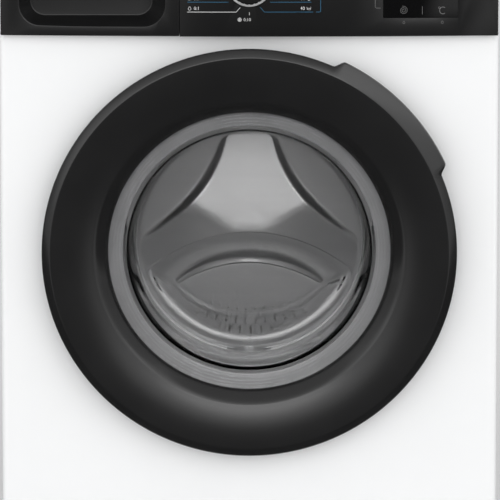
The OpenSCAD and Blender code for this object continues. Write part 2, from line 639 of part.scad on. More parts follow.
module hinge_bracket() color("silver") {
    difference() {
        union() {
            box([hinge_x + 31, face_y + dish_d - 2, door_z - 42], [hinge_x + 52, face_y + dish_d, door_z + 42]);
            for (z = [-1, 1]) translate([0, 0, door_z + z * 31.5 - 1.5]) linear_extrude(3) {
                translate([hinge_x, face_y - hinge_out]) circle(r = 6, $fn = 48);
                polygon([[hinge_x - 4.4, face_y - hinge_out + 4.1], [hinge_x + 32, face_y + dish_d - 1],
                    [hinge_x + 46, face_y + dish_d - 1], [hinge_x + 42, face_y + 1], [hinge_x + 3.2, face_y - hinge_out - 5.1]]);
            }
        }
        translate([hinge_x, face_y - hinge_out, door_z - 50]) cylinder(h = 100, r = 3.05, $fn = 48);
    }
}
module hinge_leaf() color("silver") {
    difference() {
        union() {
            translate([hinge_x, face_y - hinge_out, door_z - 29.5]) cylinder(h = 59, r = 6, $fn = 48);
            box([hinge_x, face_y - hinge_out - 4, door_z - 29.5], [hinge_x + 48, face_y - hinge_out, door_z + 29.5]);
        }
        translate([hinge_x, face_y - hinge_out, door_z - 50]) cylinder(h = 100, r = 3.05, $fn = 48);
    }
    // pads that meet the outer ring's hollow
    for (z = [-1, 1]) box([hinge_x + 16, face_y - face_out(-hinge_x - 27) + wall + play, door_z + z * 22 - 6],
            [hinge_x + 27, face_y - hinge_out - 3.9, door_z + z * 22 + 6]);
}
module hinge_pin() color("dimgray") {
    translate([hinge_x, face_y - hinge_out, door_z - 36]) cylinder(h = 72, r = 3, $fn = 48);
    for (z = [-37.5, 33.3]) translate([hinge_x, face_y - hinge_out, door_z + z]) cylinder(h = 4.2, r = 4.5, $fn = 48);
}
module door_hook() color("dimgray") {
    translate([0, 0, door_z - 5]) linear_extrude(10) {
        translate([hook_x + 1, face_y - 14]) circle(r = 5, $fn = 48);
        polygon([[hook_x - 3, face_y - 14], [hook_x - 3, face_y + 22], [hook_x - 8, face_y + 22], [hook_x - 6, face_y + 30],
            [hook_x, face_y + 32], [hook_x + 4, face_y + 28], [hook_x + 4.5, face_y - 12]]);
    }
    translate([hook_x + 1, face_y - 14, door_z - 12]) cylinder(h = 24, r = hook_pin_r, $fn = 48);
}
module door_lock() color("dimgray") {
    difference() {
        box([hook_x - 15, face_y + dish_d + sheet_t + play / 2, door_z - 44], [hook_x + 30, face_y + dish_d + 32, door_z + 44]);
        box([hook_x - 11, face_y + 5, door_z - slot_half], [hook_x + 13, face_y + dish_d + 28, door_z + slot_half]);
    }
}
neck_r = mouth_r + 3;       // outer radius of the tub's neck
tub_face = -52;             // the tub's front wall
module door_gasket() color("dimgray") {
    turned() polygon([
        [bowl_r + 1, -11], [lip_r - 1.5, -dish_d - 0.7], [lip_r - 0.4, -dish_d - 2.6], [lip_r - 0.4, -dish_d - 9.4],
        [lip_r + 1.4, -dish_d - 9.4], [lip_r + 1.4, -dish_d - 1.8], [lip_r + 4, -dish_d - 1.6], [lip_r + 4, -dish_d - 9],
        [lip_r + 11, -24], [lip_r + 12, -29], [neck_r + 3.4, -34], [neck_r + 3.4, -50], [neck_r + 0.2, -50],
        [neck_r + 0.2, -36], [neck_r - 1, -33.5], [neck_r - 0.5, -31], [lip_r + 8, -27.5], [lip_r + 8, -26],
        [lip_r + 1, -20.5], [lip_r - 3, -19.4], [lip_r - 3, -13], [bowl_r + 1, -13.4]]);
}
module gasket_clamp() color("silver") {
    turned() translate([lip_r + 5.6, -dish_d - 4.5]) circle(r = 1.4, $fn = 24);
}

// Tub

tub_in = drum_r + drum_gap;
tub_r = tub_in + tub_t;
drum_front = -62;
drum_end = drum_front - drum_d;
hub_front = drum_end - 21;
tub_end = hub_front - 13;   // the tub's rear wall, inside
tub_seam = -170;
damper_x = tub_r - 50;
sump_at = [136, -110];      // the sump's outlet, x and out
dispenser_at = [tray_lo.x + 100, face_y + 130];
function tub_under(x) = door_z - sqrt(tub_r * tub_r - x * x);
function tub_over(x) = door_z + sqrt(tub_r * tub_r - x * x);
module tub_front() color("whitesmoke") {
    turned() polygon([[mouth_r, -40], [neck_r, -40], [neck_r, tub_face], [tub_r - 12, tub_face],
        [tub_r, tub_face - 12], [tub_r, tub_seam + 5], [tub_r + 11, tub_seam + 5], [tub_r + 11, tub_seam],
        [tub_in, tub_seam], [tub_in, tub_face - 13], [tub_in - 10, tub_face - tub_t], [mouth_r, tub_face - tub_t]]);
    for (a = [35, 65, 115, 145, 215, 245, 295, 325]) // bosses for the counterweights
        turned_boss(a, 232, tub_face - 1, tub_face + 3.8, 9);
    difference() { // inlet from the detergent drawer
        translate([dispenser_at.x, dispenser_at.y, tub_over(dispenser_at.x) - 25]) cylinder(h = 36.7, r = 13.5);
        rod_y(0, door_z, tub_seam, tub_face, tub_in + 1);
        translate([dispenser_at.x, dispenser_at.y, tub_over(dispenser_at.x) - 26]) cylinder(h = 40, r = 11);
    }
    difference() { // outlet of the sump
        translate([sump_at.x, face_y - sump_at.y, tub_under(sump_at.x) - 22]) cylinder(h = 40, r = 17);
        translate([sump_at.x, face_y - sump_at.y, tub_under(sump_at.x) - 23]) cylinder(h = 18, r = 13);
        rod_y(0, door_z, tub_seam, tub_face, tub_in + 1);
    }
}
belt_out = hub_front - 60;  // the belt's rear face
motor_x = 95;
motor_z = 112;
motor_r = 56;
motor_back = belt_out + 30;
motor_lugs = [motor_back + 25, motor_back + 113];
module tub_rear() color("whitesmoke") {
    difference() {
        union() {
            turned() polygon([[30, tub_end], [tub_in, tub_end], [tub_in, tub_seam - play], [tub_r + 11, tub_seam - play],
                [tub_r + 11, tub_seam - 6], [tub_r, tub_seam - 6], [tub_r, tub_end - 4], [30, tub_end - 4]]);
            rod_y(0, door_z, hub_front - 43, hub_front, 38);
            for (a = [0:30:330]) translate([0, 0, door_z]) rotate([0, a, 0]) // ribs
                box([36, face_y - tub_end + 3.9, -2], [tub_r - 2, face_y - tub_end + 12, 2]);
            for (s = [-1, 1]) { // ears for the springs and feet for the dampers
                intersection() {
                    box([-anchor_x - 8, face_y - spring_out - 12, spring_low - 4], [anchor_x + 8, face_y - spring_out + 12, spring_low + 8]);
                    translate([s * (anchor_x + ear_in) / 2, 0, 0]) cube([anchor_x - ear_in + 16, 4 * body_d, 4 * body_h], center = true);
                }
                box([s * damper_x - 14, face_y - spring_out - 14, damper_top], [s * damper_x + 14, face_y - spring_out + 14, tub_under(damper_x - 14) + 12]);
            }
            for (p = motor_lugs) box([motor_x - 24, face_y - p - 8, motor_z + motor_r + 1], [motor_x + 24, face_y - p + 8, tub_under(motor_x) + 14]);
            box([-70, face_y - tub_seam + 20, tub_under(0) - 14], [40, face_y - tub_end, tub_under(0) + 12]);   // sump
        }
        rod_y(0, door_z, tub_end, tub_seam + cut, tub_in);
        box([-66, face_y - tub_seam + 24, tub_under(0) - 10], [36, face_y - tub_end, tub_under(0) + 20]);
        rod_y(0, door_z, hub_front - 44, hub_front + cut, 14);
        rod_y(0, door_z, hub_front - 15, hub_front + cut, bearing_big);
        rod_y(0, door_z, hub_front - 44, hub_front - 29, bearing_small);
        for (s = [-1, 1]) translate([s * anchor_x, face_y - spring_out, spring_low - 10]) cylinder(h = 30, r = spring_wire + play, $fn = 32);
        box([heater_x - 31.3, face_y - tub_end - cut, heater_z - 6.3], [heater_x + 31.3, face_y - tub_end + 6, heater_z + 6.3]);
    }
}
bearing_big = 26;
bearing_small = 23.5;
shaft_big = 12.5;
shaft_small = 10;
module drum_bearings() color("silver") {
    difference() {
        rod_y(0, door_z, hub_front - 15, hub_front, bearing_big - 0.02);
        rod_y(0, door_z, hub_front - 16, hub_front + cut, shaft_big + 0.03);
    }
    difference() {
        rod_y(0, door_z, hub_front - 43, hub_front - 29, bearing_small - 0.02);
        rod_y(0, door_z, hub_front - 44, hub_front - 28, shaft_small + 0.03);
    }
}
weight_in = lip_r + 23;
module front_counterweight() color("gray") {
    for (start = [28, 208]) difference() {
        turned(124, start) polygon([[weight_in, tub_face + 4], [tub_r - 6, tub_face + 4], [tub_r - 6, -20], [weight_in, -20]]);
        for (a = [start + 7, start + 37, start + 87, start + 117]) rod_y(232 * cos(a), door_z + 232 * sin(a), -26, 0, 8);
    }
}
module top_counterweight() color("gray") {
    difference() {
        box([-60, face_y + 110, tub_over(0) - 40], [200, face_y + 300, tub_over(0) + 62]);
        rod_y(0, door_z, -400, 0, tub_r + 0.4);
        rod_y(0, door_z, tub_seam - 7, tub_seam + 6, tub_r + 12);
    }
}
heater_x = -15;
heater_z = tub_under(0) + 1.5;
module heating_element() color("silver") {
    for (s = [-1, 1]) rod_y(heater_x + s * 22, heater_z, tub_end - 8, tub_seam - 60, 3.5);
    translate([heater_x, face_y - tub_seam + 60, heater_z]) rotate([0, 0, 180]) rotate_extrude(angle = 180)
        translate([22, 0]) circle(r = 3.5, $fn = 32);
    box([heater_x - 31, face_y - tub_end + 0.4, heater_z - 6], [heater_x + 31, face_y - tub_end + 5, heater_z + 6]);
}
module motor_body() color("darkgray") {
    difference() {
        union() {
            rod_y(motor_x, motor_z, motor_back, motor_back + 130, motor_r);
            for (p = motor_lugs) box([motor_x - 22, face_y - p - 8, motor_z + 40], [motor_x + 22, face_y - p + 8, motor_z + motor_r + 0.9]);
        }
        rod_y(motor_x, motor_z, motor_back - cut, motor_back + 45, 8.1);
        for (a = [20:40:340]) if (a < 70 || a > 110) // cooling slots
            rod_y(motor_x + 40 * cos(a), motor_z + 40 * sin(a), motor_back - cut, motor_back + 13, 7);
    }
}
belt_w = 12;
belt_t = 2.5;
module motor_pulley() color("silver") {
    rod_y(motor_x, motor_z, belt_out - 3, motor_back + 40, 8);
    rod_y(motor_x, motor_z, belt_out - 2, belt_out + belt_w + 2, motor_pulley_r);
}
// A solid that holds two discs and lies between the two lines that touch both
module around(r1, r2, h) {
    d = [motor_x, motor_z - door_z];
    a = atan2(d.y, d.x);
    b = acos((r1 - r2) / norm(d));
    in = 0.05;              // the sides lie this far inside the discs, which they then cross cleanly
    cylinder(h = h, r = r1);
    translate(d) cylinder(h = h, r = r2);
    linear_extrude(h) polygon([(r1 - in) * [cos(a + b), sin(a + b)], d + (r2 - in) * [cos(a + b), sin(a + b)],
        d + (r2 - in) * [cos(a - b), sin(a - b)], (r1 - in) * [cos(a - b), sin(a - b)]]);
}
module drive_belt() color([0.15, 0.15, 0.15]) {
    on_face(0, door_z, belt_out) difference() {
        around(pulley_r + 0.1 + belt_t, motor_pulley_r + 0.1 + belt_t, belt_w);
        translate([0, 0, -cut]) around(pulley_r + 0.1, motor_pulley_r + 0.1, belt_w + 2 * cut);
    }
}

// Suspension

spring_wire = 1.7;
spring_low = 590;
ear_in = sqrt(tub_r * tub_r - (spring_low - door_z) * (spring_low - door_z)) - 6;
damper_top = 236;
module suspension_springs() color("silver") {
    turns = 8;
    per_turn = 12;
    top = anchor_z - 28;
    low = spring_low + 34;
    for (s = [-1, 1]) sweep(concat(
        [[s * anchor_x, face_y - spring_out, anchor_z + 7], [s * anchor_x, face_y - spring_out, top + 8]],
        [for (i = [0:turns * per_turn]) let (a = 360 * i / per_turn, e = min(1, min(i, turns * per_turn - i) / 4))
            [s * anchor_x + 11 * e * cos(a), face_y - spring_out + 11 * e * sin(a), top - (top - low) * i / (turns * per_turn)]],
        [[s * anchor_x, face_y - spring_out, low - 8], [s * anchor_x, face_y - spring_out, spring_low - 8]]), spring_wire, 6);
}
module damper_cylinders() color("gray") {
    for (s = [-1, 1]) translate([s * damper_x, face_y - spring_out, 0]) difference() {
        union() {
            translate([0, 0, floor_gap + 14]) cylinder(h = 10, r = 10);
            translate([0, 0, floor_gap + 22]) cylinder(h = 110, r = 16);
        }
        translate([0, 0, floor_gap + 30]) cylinder(h = 110, r = 12);
    }
}
module damper_rods() color("silver") {
    for (s = [-1, 1]) translate([s * damper_x, face_y - spring_out, 0]) {
        translate([0, 0, 100]) cylinder(h = damper_top - 100, r = 6);
        translate([0, 0, 92]) cylinder(h = 18, r = 11.7);
        translate([0, 0, damper_top - 6]) cylinder(h = 6, r = 13);
    }
}
sump_top = tub_under(sump_at.x) - 22;
sump_points = [[sump_at.x, face_y - sump_at.y, sump_top - play], [sump_at.x, face_y - sump_at.y, sump_top - 6],
    [sump_at.x, face_y - sump_at.y, sump_top - 12], [(sump_at.x + pump_x - 18) / 2, face_y + 99, (sump_top + pump_z) / 2 + 26],
    [pump_x - 18, face_y + 88, pump_z + 64], [pump_x - 18, face_y + 88, pump_z + 58], [pump_x - 18, face_y + 88, pump_z + 52.2]];
module sump_hose() color("dimgray") {
    sweep(spline(sump_points, 3), 16, 12);
}
module dispenser_hose() color("dimgray") {
    top = tray_lo.y - 22.2;
    low = tub_over(dispenser_at.x) + 12;
    h = (top - low) / 5;
    translate([dispenser_at.x, dispenser_at.y, low]) cylinder(h = top - low, r = 11);
    for (k = [0:4]) // folds
        translate([dispenser_at.x, dispenser_at.y, low + (k + 0.3) * h]) cylinder(h = h * 0.4, r = 13.5);
}

// Drum

module drum_shell() color("silver") {
    // front ring, its rolled mouth and the wall
    turned() polygon([[mouth_r + 1, drum_front + 1], [mouth_r + 3, drum_front + 2.4], [mouth_r + 6, drum_front + 1.4],
        [mouth_r + 10, drum_front], [drum_r - 8, drum_front], [drum_r, drum_front - 8], [drum_r + 1, drum_front - 8],
        [drum_r + 1, drum_end + 4], [drum_r, drum_end + 4], [drum_r, drum_front - 9], [drum_r - 8.6, drum_front - 1],
        [mouth_r + 9, drum_front - 1], [mouth_r + 5, drum_front + 0.2], [mouth_r + 3, drum_front + 1.2],
        [mouth_r + 2, drum_front + 0.2]]);
}
module drum_back() color("silver") {
    turned() polygon([[0, drum_end + 6], [70, drum_end + 6], [84, drum_end + 1], [drum_r - 8, drum_end + 1],
        [drum_r - 1.2, drum_end + 6], [drum_r - 0.1, drum_end + 6], [drum_r - 0.1, drum_end + 4], [drum_r + 1, drum_end + 4 - 0.1],
        [drum_r + 1, drum_end + 2], [drum_r - 5, drum_end], [83.4, drum_end], [69.4, drum_end + 5], [0, drum_end + 5]]);
}
lifter_w = 44;              // half width of a lifter at its foot
module drum_lifters() color("gainsboro") {
    for (a = [30, 150, 270]) difference() {
        translate([0, 0, door_z]) rotate([0, -a, 0]) translate([0, face_y - drum_front + 16, 0]) rotate([-90, 0, 0])
            linear_extrude(drum_d - 36) intersection() {
                translate([drum_r - 30, 0]) square([70, 2 * lifter_w + 2], center = true);
                hull() {
                    translate([drum_r - lifter_h + 12, 0]) circle(r = 12, $fn = 32);
                    translate([drum_r + 10, lifter_w]) circle(r = 4, $fn = 24);
                    translate([drum_r + 10, -lifter_w]) circle(r = 4, $fn = 24);
                }
            }
        difference() {
            rod_y(0, door_z, drum_end, drum_front, drum_r + 80);
            rod_y(0, door_z, drum_end - cut, drum_front + cut, drum_r - 0.1);
        }
    }
}
module drum_spider() color("darkgray") {
    difference() {
        union() {
            rod_y(0, door_z, hub_front + 2, drum_end - 0.1, 34);
            for (a = [90, 210, 330]) translate([0, 0, door_z]) rotate([0, -a, 0]) {
                box([20, face_y - drum_end + 4, -16], [drum_r - 20, face_y - drum_end + 16, 16]);
                box([drum_r - 48, face_y - drum_end + 0.1, -22], [drum_r - 14, face_y - drum_end + 16, 22]);
            }
        }
        rod_y(0, door_z, hub_front + 1, drum_end - 4, 14.02);
    }
}
module drum_shaft() color("silver") {
    rod_y(0, door_z, hub_front + 0.4, drum_end - 4.2, 14);
    rod_y(0, door_z, hub_front - 29, hub_front + 0.5, shaft_big);
    rod_y(0, door_z, belt_out - 3, hub_front - 28.9, shaft_small);
}
module drum_pulley() color("silver") {
    difference() {
        union() {
            difference() {
                rod_y(0, door_z, belt_out - 1, belt_out + belt_w + 1, pulley_r);
                rod_y(0, door_z, belt_out - 2, belt_out + belt_w + 2, pulley_r - 5);
            }
            for (a = [0:60:300]) translate([0, 0, door_z]) rotate([0, a, 0])
                box([18, face_y - belt_out - belt_w + 2, -9], [pulley_r - 4, face_y - belt_out - 2, 9]);
            rod_y(0, door_z, belt_out - 1, belt_out + belt_w + 2, 24);
        }
        rod_y(0, door_z, belt_out - 2, belt_out + belt_w + 3, shaft_small + 0.02);
    }
}

cabinet_wrap();
front_panel();
rear_cover();
base_tray();
plinth();
worktop_board();
worktop_frame();
control_panel();
display_window();
control_board();
dispenser_housing();
inlet_valve();
door_lock();
hinge_bracket();
door_gasket();
gasket_clamp();
drain_pump();
drain_hose();
power_gland();
transit_caps();
foot_locknuts();
cabinet_screws();
damper_cylinders();
dispenser_hose();
programme_knob();
knob_ring();
start_button();
drawer_front();
detergent_drawer();
softener_siphon();
pump_flap();
pump_filter();
foot(-1, foot_y[0]);  // foot_front_left
foot(1, foot_y[0]);  // foot_front_right
foot(-1, foot_y[1]);  // foot_rear_left
foot(1, foot_y[1]);  // foot_rear_right
door_outer_ring();
door_inner_ring();
door_glass();
hinge_leaf();
hinge_pin();
door_hook();
tub_front();
tub_rear();
front_counterweight();
top_counterweight();
heating_element();
drum_bearings();
motor_body();
drive_belt();
damper_rods();
suspension_springs();
sump_hose();
drum_shell();
drum_back();
drum_lifters();
drum_spider();
drum_shaft();
drum_pulley();
motor_pulley();
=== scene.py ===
"""Looks of the front loading washing machine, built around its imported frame."""
import json
import math

import bpy
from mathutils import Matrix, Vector

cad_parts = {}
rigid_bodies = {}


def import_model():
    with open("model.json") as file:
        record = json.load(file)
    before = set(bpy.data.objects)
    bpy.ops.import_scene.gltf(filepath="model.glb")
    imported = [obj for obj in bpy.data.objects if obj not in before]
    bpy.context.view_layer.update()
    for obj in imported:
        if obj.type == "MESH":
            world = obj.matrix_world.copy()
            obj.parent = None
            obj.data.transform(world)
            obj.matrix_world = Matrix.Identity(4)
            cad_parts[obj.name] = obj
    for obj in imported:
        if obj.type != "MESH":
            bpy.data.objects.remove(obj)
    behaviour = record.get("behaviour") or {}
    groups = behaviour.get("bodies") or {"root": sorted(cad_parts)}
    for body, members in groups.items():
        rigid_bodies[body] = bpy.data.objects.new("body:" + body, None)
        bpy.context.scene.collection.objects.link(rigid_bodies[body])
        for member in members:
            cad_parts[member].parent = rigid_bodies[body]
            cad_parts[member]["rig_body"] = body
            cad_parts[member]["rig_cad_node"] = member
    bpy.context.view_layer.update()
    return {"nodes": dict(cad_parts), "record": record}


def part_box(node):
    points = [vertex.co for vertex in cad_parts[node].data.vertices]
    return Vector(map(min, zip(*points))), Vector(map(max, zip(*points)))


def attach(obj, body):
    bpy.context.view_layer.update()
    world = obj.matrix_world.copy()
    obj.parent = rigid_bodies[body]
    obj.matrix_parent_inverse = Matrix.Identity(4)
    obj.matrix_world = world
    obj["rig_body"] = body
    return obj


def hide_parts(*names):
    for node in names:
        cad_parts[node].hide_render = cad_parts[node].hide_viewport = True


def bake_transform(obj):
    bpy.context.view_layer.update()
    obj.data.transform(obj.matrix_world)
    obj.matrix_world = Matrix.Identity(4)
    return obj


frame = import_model()
nodes = frame["nodes"]

MM = 0.001
FULL_TURN = 2 * math.pi
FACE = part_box("front_panel")[0].y                                     # the cabinet's front face
AXIS = (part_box("drum_shell")[0].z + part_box("drum_shell")[1].z) / 2    # height of the door and drum axis
KNOB = (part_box("knob_ring")[0].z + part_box("knob_ring")[1].z) / 2      # height of the knob


# Placing

def at(x, z, out):
    """A point from its width and height, and its distance in front of the cabinet face, in millimetres."""
    return Vector((x * MM, FACE - out * MM, z * MM))


def on_axis(radius, out, angle=0.0):
    """A point at a radius from the door and drum axis."""
    a = math.radians(angle)
    return Vector((radius * MM * math.cos(a), FACE - out * MM, AXIS + radius * MM * math.sin(a)))


def arc(centre, radius, start, end, count):
    """Points of [radius, out] or [x, z] along an arc."""
    return [(centre[0] + radius * math.cos(math.radians(start + (end - start) * i / count)),
             centre[1] + radius * math.sin(math.radians(start + (end - start) * i / count)))
            for i in range(count + 1)]


# Shaping by hand

def object_mode():
    """Leaves edit mode."""
    if bpy.context.object and bpy.context.object.mode != "OBJECT":
        bpy.ops.object.mode_set(mode="OBJECT")


def start_fresh():
    """Nothing open and nothing picked."""
    object_mode()
    bpy.ops.object.select_all(action="DESELECT")


def take(obj):
    """One piece picked, by itself."""
    start_fresh()
    obj.select_set(True)
    bpy.context.view_layer.objects.active = obj


def draw(name, points, fill=True):
    """An outline drawn point to point. It is left in edit mode, all selected."""
    start_fresh()
    bpy.ops.mesh.primitive_plane_add(size=0.01)
    obj = bpy.context.object
    obj.name = obj.data.name = name
    bpy.ops.object.mode_set(mode="EDIT")
    bpy.ops.mesh.select_mode(type="VERT")
    bpy.ops.mesh.select_all(action="SELECT")
    bpy.ops.mesh.merge(type="CENTER")
    bpy.ops.transform.translate(value=points[0])
    for a, b in zip(points, points[1:]):
        bpy.ops.mesh.extrude_region_move(TRANSFORM_OT_translate={"value": b - a})
    bpy.ops.mesh.select_all(action="SELECT")
    if fill:
        bpy.ops.mesh.edge_face_add()
    return obj


def close_up(obj, gap=1e-6):
    """Doubles merged and faces turned outwards."""
    if obj.mode != "EDIT":
        take(obj)
        bpy.ops.object.mode_set(mode="EDIT")
    bpy.ops.mesh.select_all(action="SELECT")
    bpy.ops.mesh.remove_doubles(threshold=gap)
    bpy.ops.mesh.normals_make_consistent(inside=False)
    bpy.ops.object.mode_set(mode="OBJECT")
    return obj


def turned(name, outline, steps=160, centre=(0.0, AXIS), closed=True):
    """A profile of (radius, out) spun about a front to back axis."""
    points = [Vector((centre[0] + r * MM, FACE - out * MM, centre[1])) for r, out in outline]
    obj = draw(name, points, closed)
    if closed:
        bpy.ops.mesh.delete(type="ONLY_FACE")
    bpy.ops.mesh.select_all(action="SELECT")
    bpy.ops.mesh.spin(steps=steps, angle=FULL_TURN, center=(centre[0], 0, centre[1]), axis=(0, 1, 0))
    return close_up(obj)


def block(name, lo, hi):
    """A box from its lowest to its highest corner."""
    start_fresh()
    bpy.ops.mesh.primitive_cube_add(size=1)
    obj = bpy.context.object
    obj.name = obj.data.name = name
    bpy.ops.object.mode_set(mode="EDIT")
    bpy.ops.transform.resize(value=hi - lo, center_override=(0, 0, 0))
    bpy.ops.transform.translate(value=(lo + hi) / 2)
    bpy.ops.object.mode_set(mode="OBJECT")
    return obj


def extruded(name, points, move):
    """A filled outline given a thickness."""
    obj = draw(name, points)
    bpy.ops.mesh.extrude_region_move(TRANSFORM_OT_translate={"value": move})
    return close_up(obj)


def use(obj, kind, **settings):
    """A modifier, set and applied."""
    take(obj)
    bpy.ops.object.modifier_add(type=kind)
    modifier = obj.modifiers[-1]
    for key, value in settings.items():
        setattr(modifier, key, value)
    bpy.ops.object.modifier_apply(modifier=modifier.name)
    return obj


def soften(obj, width, segments=3, angle=30):
    """Edges broken by a bevel, its width in millimetres."""
    return use(obj, "BEVEL", width=width * MM, segments=segments, limit_method="ANGLE",
               angle_limit=math.radians(angle), harden_normals=False)


def smooth(obj, angle=32):
    """Smooth shading up to an angle."""
    take(obj)
    bpy.ops.object.shade_smooth_by_angle(angle=math.radians(angle))
    return obj


def cut(obj, tool, operation="DIFFERENCE"):
    """One shape taken from another, and the tool cleared away."""
    use(obj, "BOOLEAN", object=tool, operation=operation, solver="EXACT")
    start_fresh()
    tool.select_set(True)
    bpy.ops.object.delete()
    return obj


def together(name, *parts):
    """Several shapes joined as one piece."""
    start_fresh()
    for part in parts:
        part.select_set(True)
    bpy.context.view_layer.objects.active = parts[0]
    bpy.ops.object.join()
    parts[0].name = parts[0].data.name = name
    return parts[0]


def settle(obj):
    """Place, turn and scale put into the mesh."""
    take(obj)
    bpy.ops.object.transform_apply(location=True, rotation=True, scale=True)
    return obj


def dress(obj, material, body, stands_for=()):
    """The finish, the body it rides on and the nodes it stands for."""
    obj.data.materials.clear()
    obj.data.materials.append(material)
    if body:
        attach(obj, body)
    if stands_for:
        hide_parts(*stands_for)
    return obj


def copy_of(node, name):
    """A merged copy of a node, ready to be worked on."""
    obj = nodes[node].copy()
    obj.data = nodes[node].data.copy()
    obj.parent = None
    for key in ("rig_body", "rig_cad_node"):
        if key in obj:
            del obj[key]
    obj.name = obj.data.name = name
    bpy.context.scene.collection.objects.link(obj)
    take(obj)
    if obj.data.has_custom_normals:
        bpy.ops.mesh.customdata_custom_splitnormals_clear()
    bpy.ops.object.mode_set(mode="EDIT")
    bpy.ops.mesh.select_all(action="SELECT")
    bpy.ops.mesh.remove_doubles(threshold=2e-6)
    bpy.ops.mesh.dissolve_limited(angle_limit=math.radians(0.3))
    bpy.ops.object.mode_set(mode="OBJECT")
    return obj


# Finishes

def shade(material, kind, **settings):
    """A node added to a material's tree, with its sockets and settings filled in."""
    node = material.node_tree.nodes.new(kind)
    for key, value in settings.items():
        if hasattr(node, key) and key not in node.inputs:
            setattr(node, key, value)
        else:
            node.inputs[key].default_value = value
    return node


def wire(material, out_socket, in_socket):
    """One node joined to another."""
    material.node_tree.links.new(out_socket, in_socket)


def finish(name, colour, rough, tone=0.06, patch=40.0, grain=900.0, depth=0.05, rough_play=0.06,
           stretch=(1, 1, 1), **settings):
    """A surface with slow changes of tone and a fine grain. Patch and grain are features per metre."""
    m = bpy.data.materials.new(name)
    m.use_nodes = True
    skin = m.node_tree.nodes["Principled BSDF"]
    for key, value in settings.items():
        skin.inputs[key].default_value = value
    coord = shade(m, "ShaderNodeTexCoord")
    spread = shade(m, "ShaderNodeMapping", Scale=stretch)
    wire(m, coord.outputs["Object"], spread.inputs["Vector"])
    slow = shade(m, "ShaderNodeTexNoise", Scale=patch, Detail=4.0, Roughness=0.6)
    wire(m, spread.outputs["Vector"], slow.inputs["Vector"])
    tones = shade(m, "ShaderNodeValToRGB")
    tones.color_ramp.elements[0].position = 0.3
    tones.color_ramp.elements[1].position = 0.7
    tones.color_ramp.elements[0].color = [c * (1 - tone) for c in colour] + [1]
    tones.color_ramp.elements[1].color = [min(1, c * (1 + tone)) for c in colour] + [1]
    wire(m, slow.outputs["Fac"], tones.inputs["Fac"])
    wire(m, tones.outputs["Color"], skin.inputs["Base Color"])
    fine = shade(m, "ShaderNodeTexNoise", Scale=grain, Detail=3.0, Roughness=0.65)
    wire(m, spread.outputs["Vector"], fine.inputs["Vector"])
    gloss = shade(m, "ShaderNodeMapRange")
    gloss.inputs["To Min"].default_value = max(0, rough - rough_play)
    gloss.inputs["To Max"].default_value = min(1, rough + rough_play)
    wire(m, fine.outputs["Fac"], gloss.inputs["Value"])
    wire(m, gloss.outputs["Result"], skin.inputs["Roughness"])
    relief = shade(m, "ShaderNodeBump", Strength=1.0, Distance=depth * MM)
    wire(m, fine.outputs["Fac"], relief.inputs["Height"])
    wire(m, relief.outputs["Normal"], skin.inputs["Normal"])
    return m


def speckled(m, colour, size=700.0, share=0.62, lift=1.0):
    """Adds flecks of another colour to a finish."""
    skin = m.node_tree.nodes["Principled BSDF"]
    base = skin.inputs["Base Color"].links[0].from_socket
    coord = shade(m, "ShaderNodeTexCoord")
    cells = shade(m, "ShaderNodeTexVoronoi", Scale=size)
    wire(m, coord.outputs["Object"], cells.inputs["Vector"])
    pick = shade(m, "ShaderNodeMath", operation="GREATER_THAN")
    pick.inputs[1].default_value = share
    wire(m, cells.outputs["Color"], pick.inputs[0])
    mix = shade(m, "ShaderNodeMix", data_type="RGBA")
    scale = shade(m, "ShaderNodeMath", operation="MULTIPLY")
    scale.inputs[1].default_value = lift
    wire(m, pick.outputs["Value"], scale.inputs[0])
    wire(m, scale.outputs["Value"], mix.inputs["Factor"])
    wire(m, base, mix.inputs[6])
    mix.inputs[7].default_value = [*colour, 1]
    wire(m, mix.outputs[2], skin.inputs["Base Color"])


def clear_glass(name, tint, rough=0.0, ior=1.5):
    """Glass that lets lamp light through to what lies behind it."""
    m = bpy.data.materials.new(name)
    m.use_nodes = True
    skin = m.node_tree.nodes["Principled BSDF"]
    skin.inputs["Transmission Weight"].default_value = 1.0
    skin.inputs["IOR"].default_value = ior
    coord = shade(m, "ShaderNodeTexCoord")
    film = shade(m, "ShaderNodeTexNoise", Scale=14.0, Detail=3.0)
    wire(m, coord.outputs["Object"], film.inputs["Vector"])
    tones = shade(m, "ShaderNodeValToRGB")
    tones.color_ramp.elements[0].color = [c * 0.97 for c in tint] + [1]
    tones.color_ramp.elements[1].color = [*tint, 1]
    wire(m, film.outputs["Fac"], tones.inputs["Fac"])
    wire(m, tones.outputs["Color"], skin.inputs["Base Color"])
    gloss = shade(m, "ShaderNodeMapRange")
    gloss.inputs["To Min"].default_value = rough
    gloss.inputs["To Max"].default_value = rough + 0.03
    wire(m, film.outputs["Fac"], gloss.inputs["Value"])
    wire(m, gloss.outputs["Result"], skin.inputs["Roughness"])
    ray = shade(m, "ShaderNodeLightPath")
    through = shade(m, "ShaderNodeBsdfTransparent", Color=[*tint, 1])
    mix = shade(m, "ShaderNodeMixShader")
    wire(m, ray.outputs["Is Shadow Ray"], mix.inputs["Fac"])
    wire(m, skin.outputs["BSDF"], mix.inputs[1])
    wire(m, through.outputs["BSDF"], mix.inputs[2])
    wire(m, mix.outputs["Shader"], m.node_tree.nodes["Material Output"].inputs["Surface"])
    return m


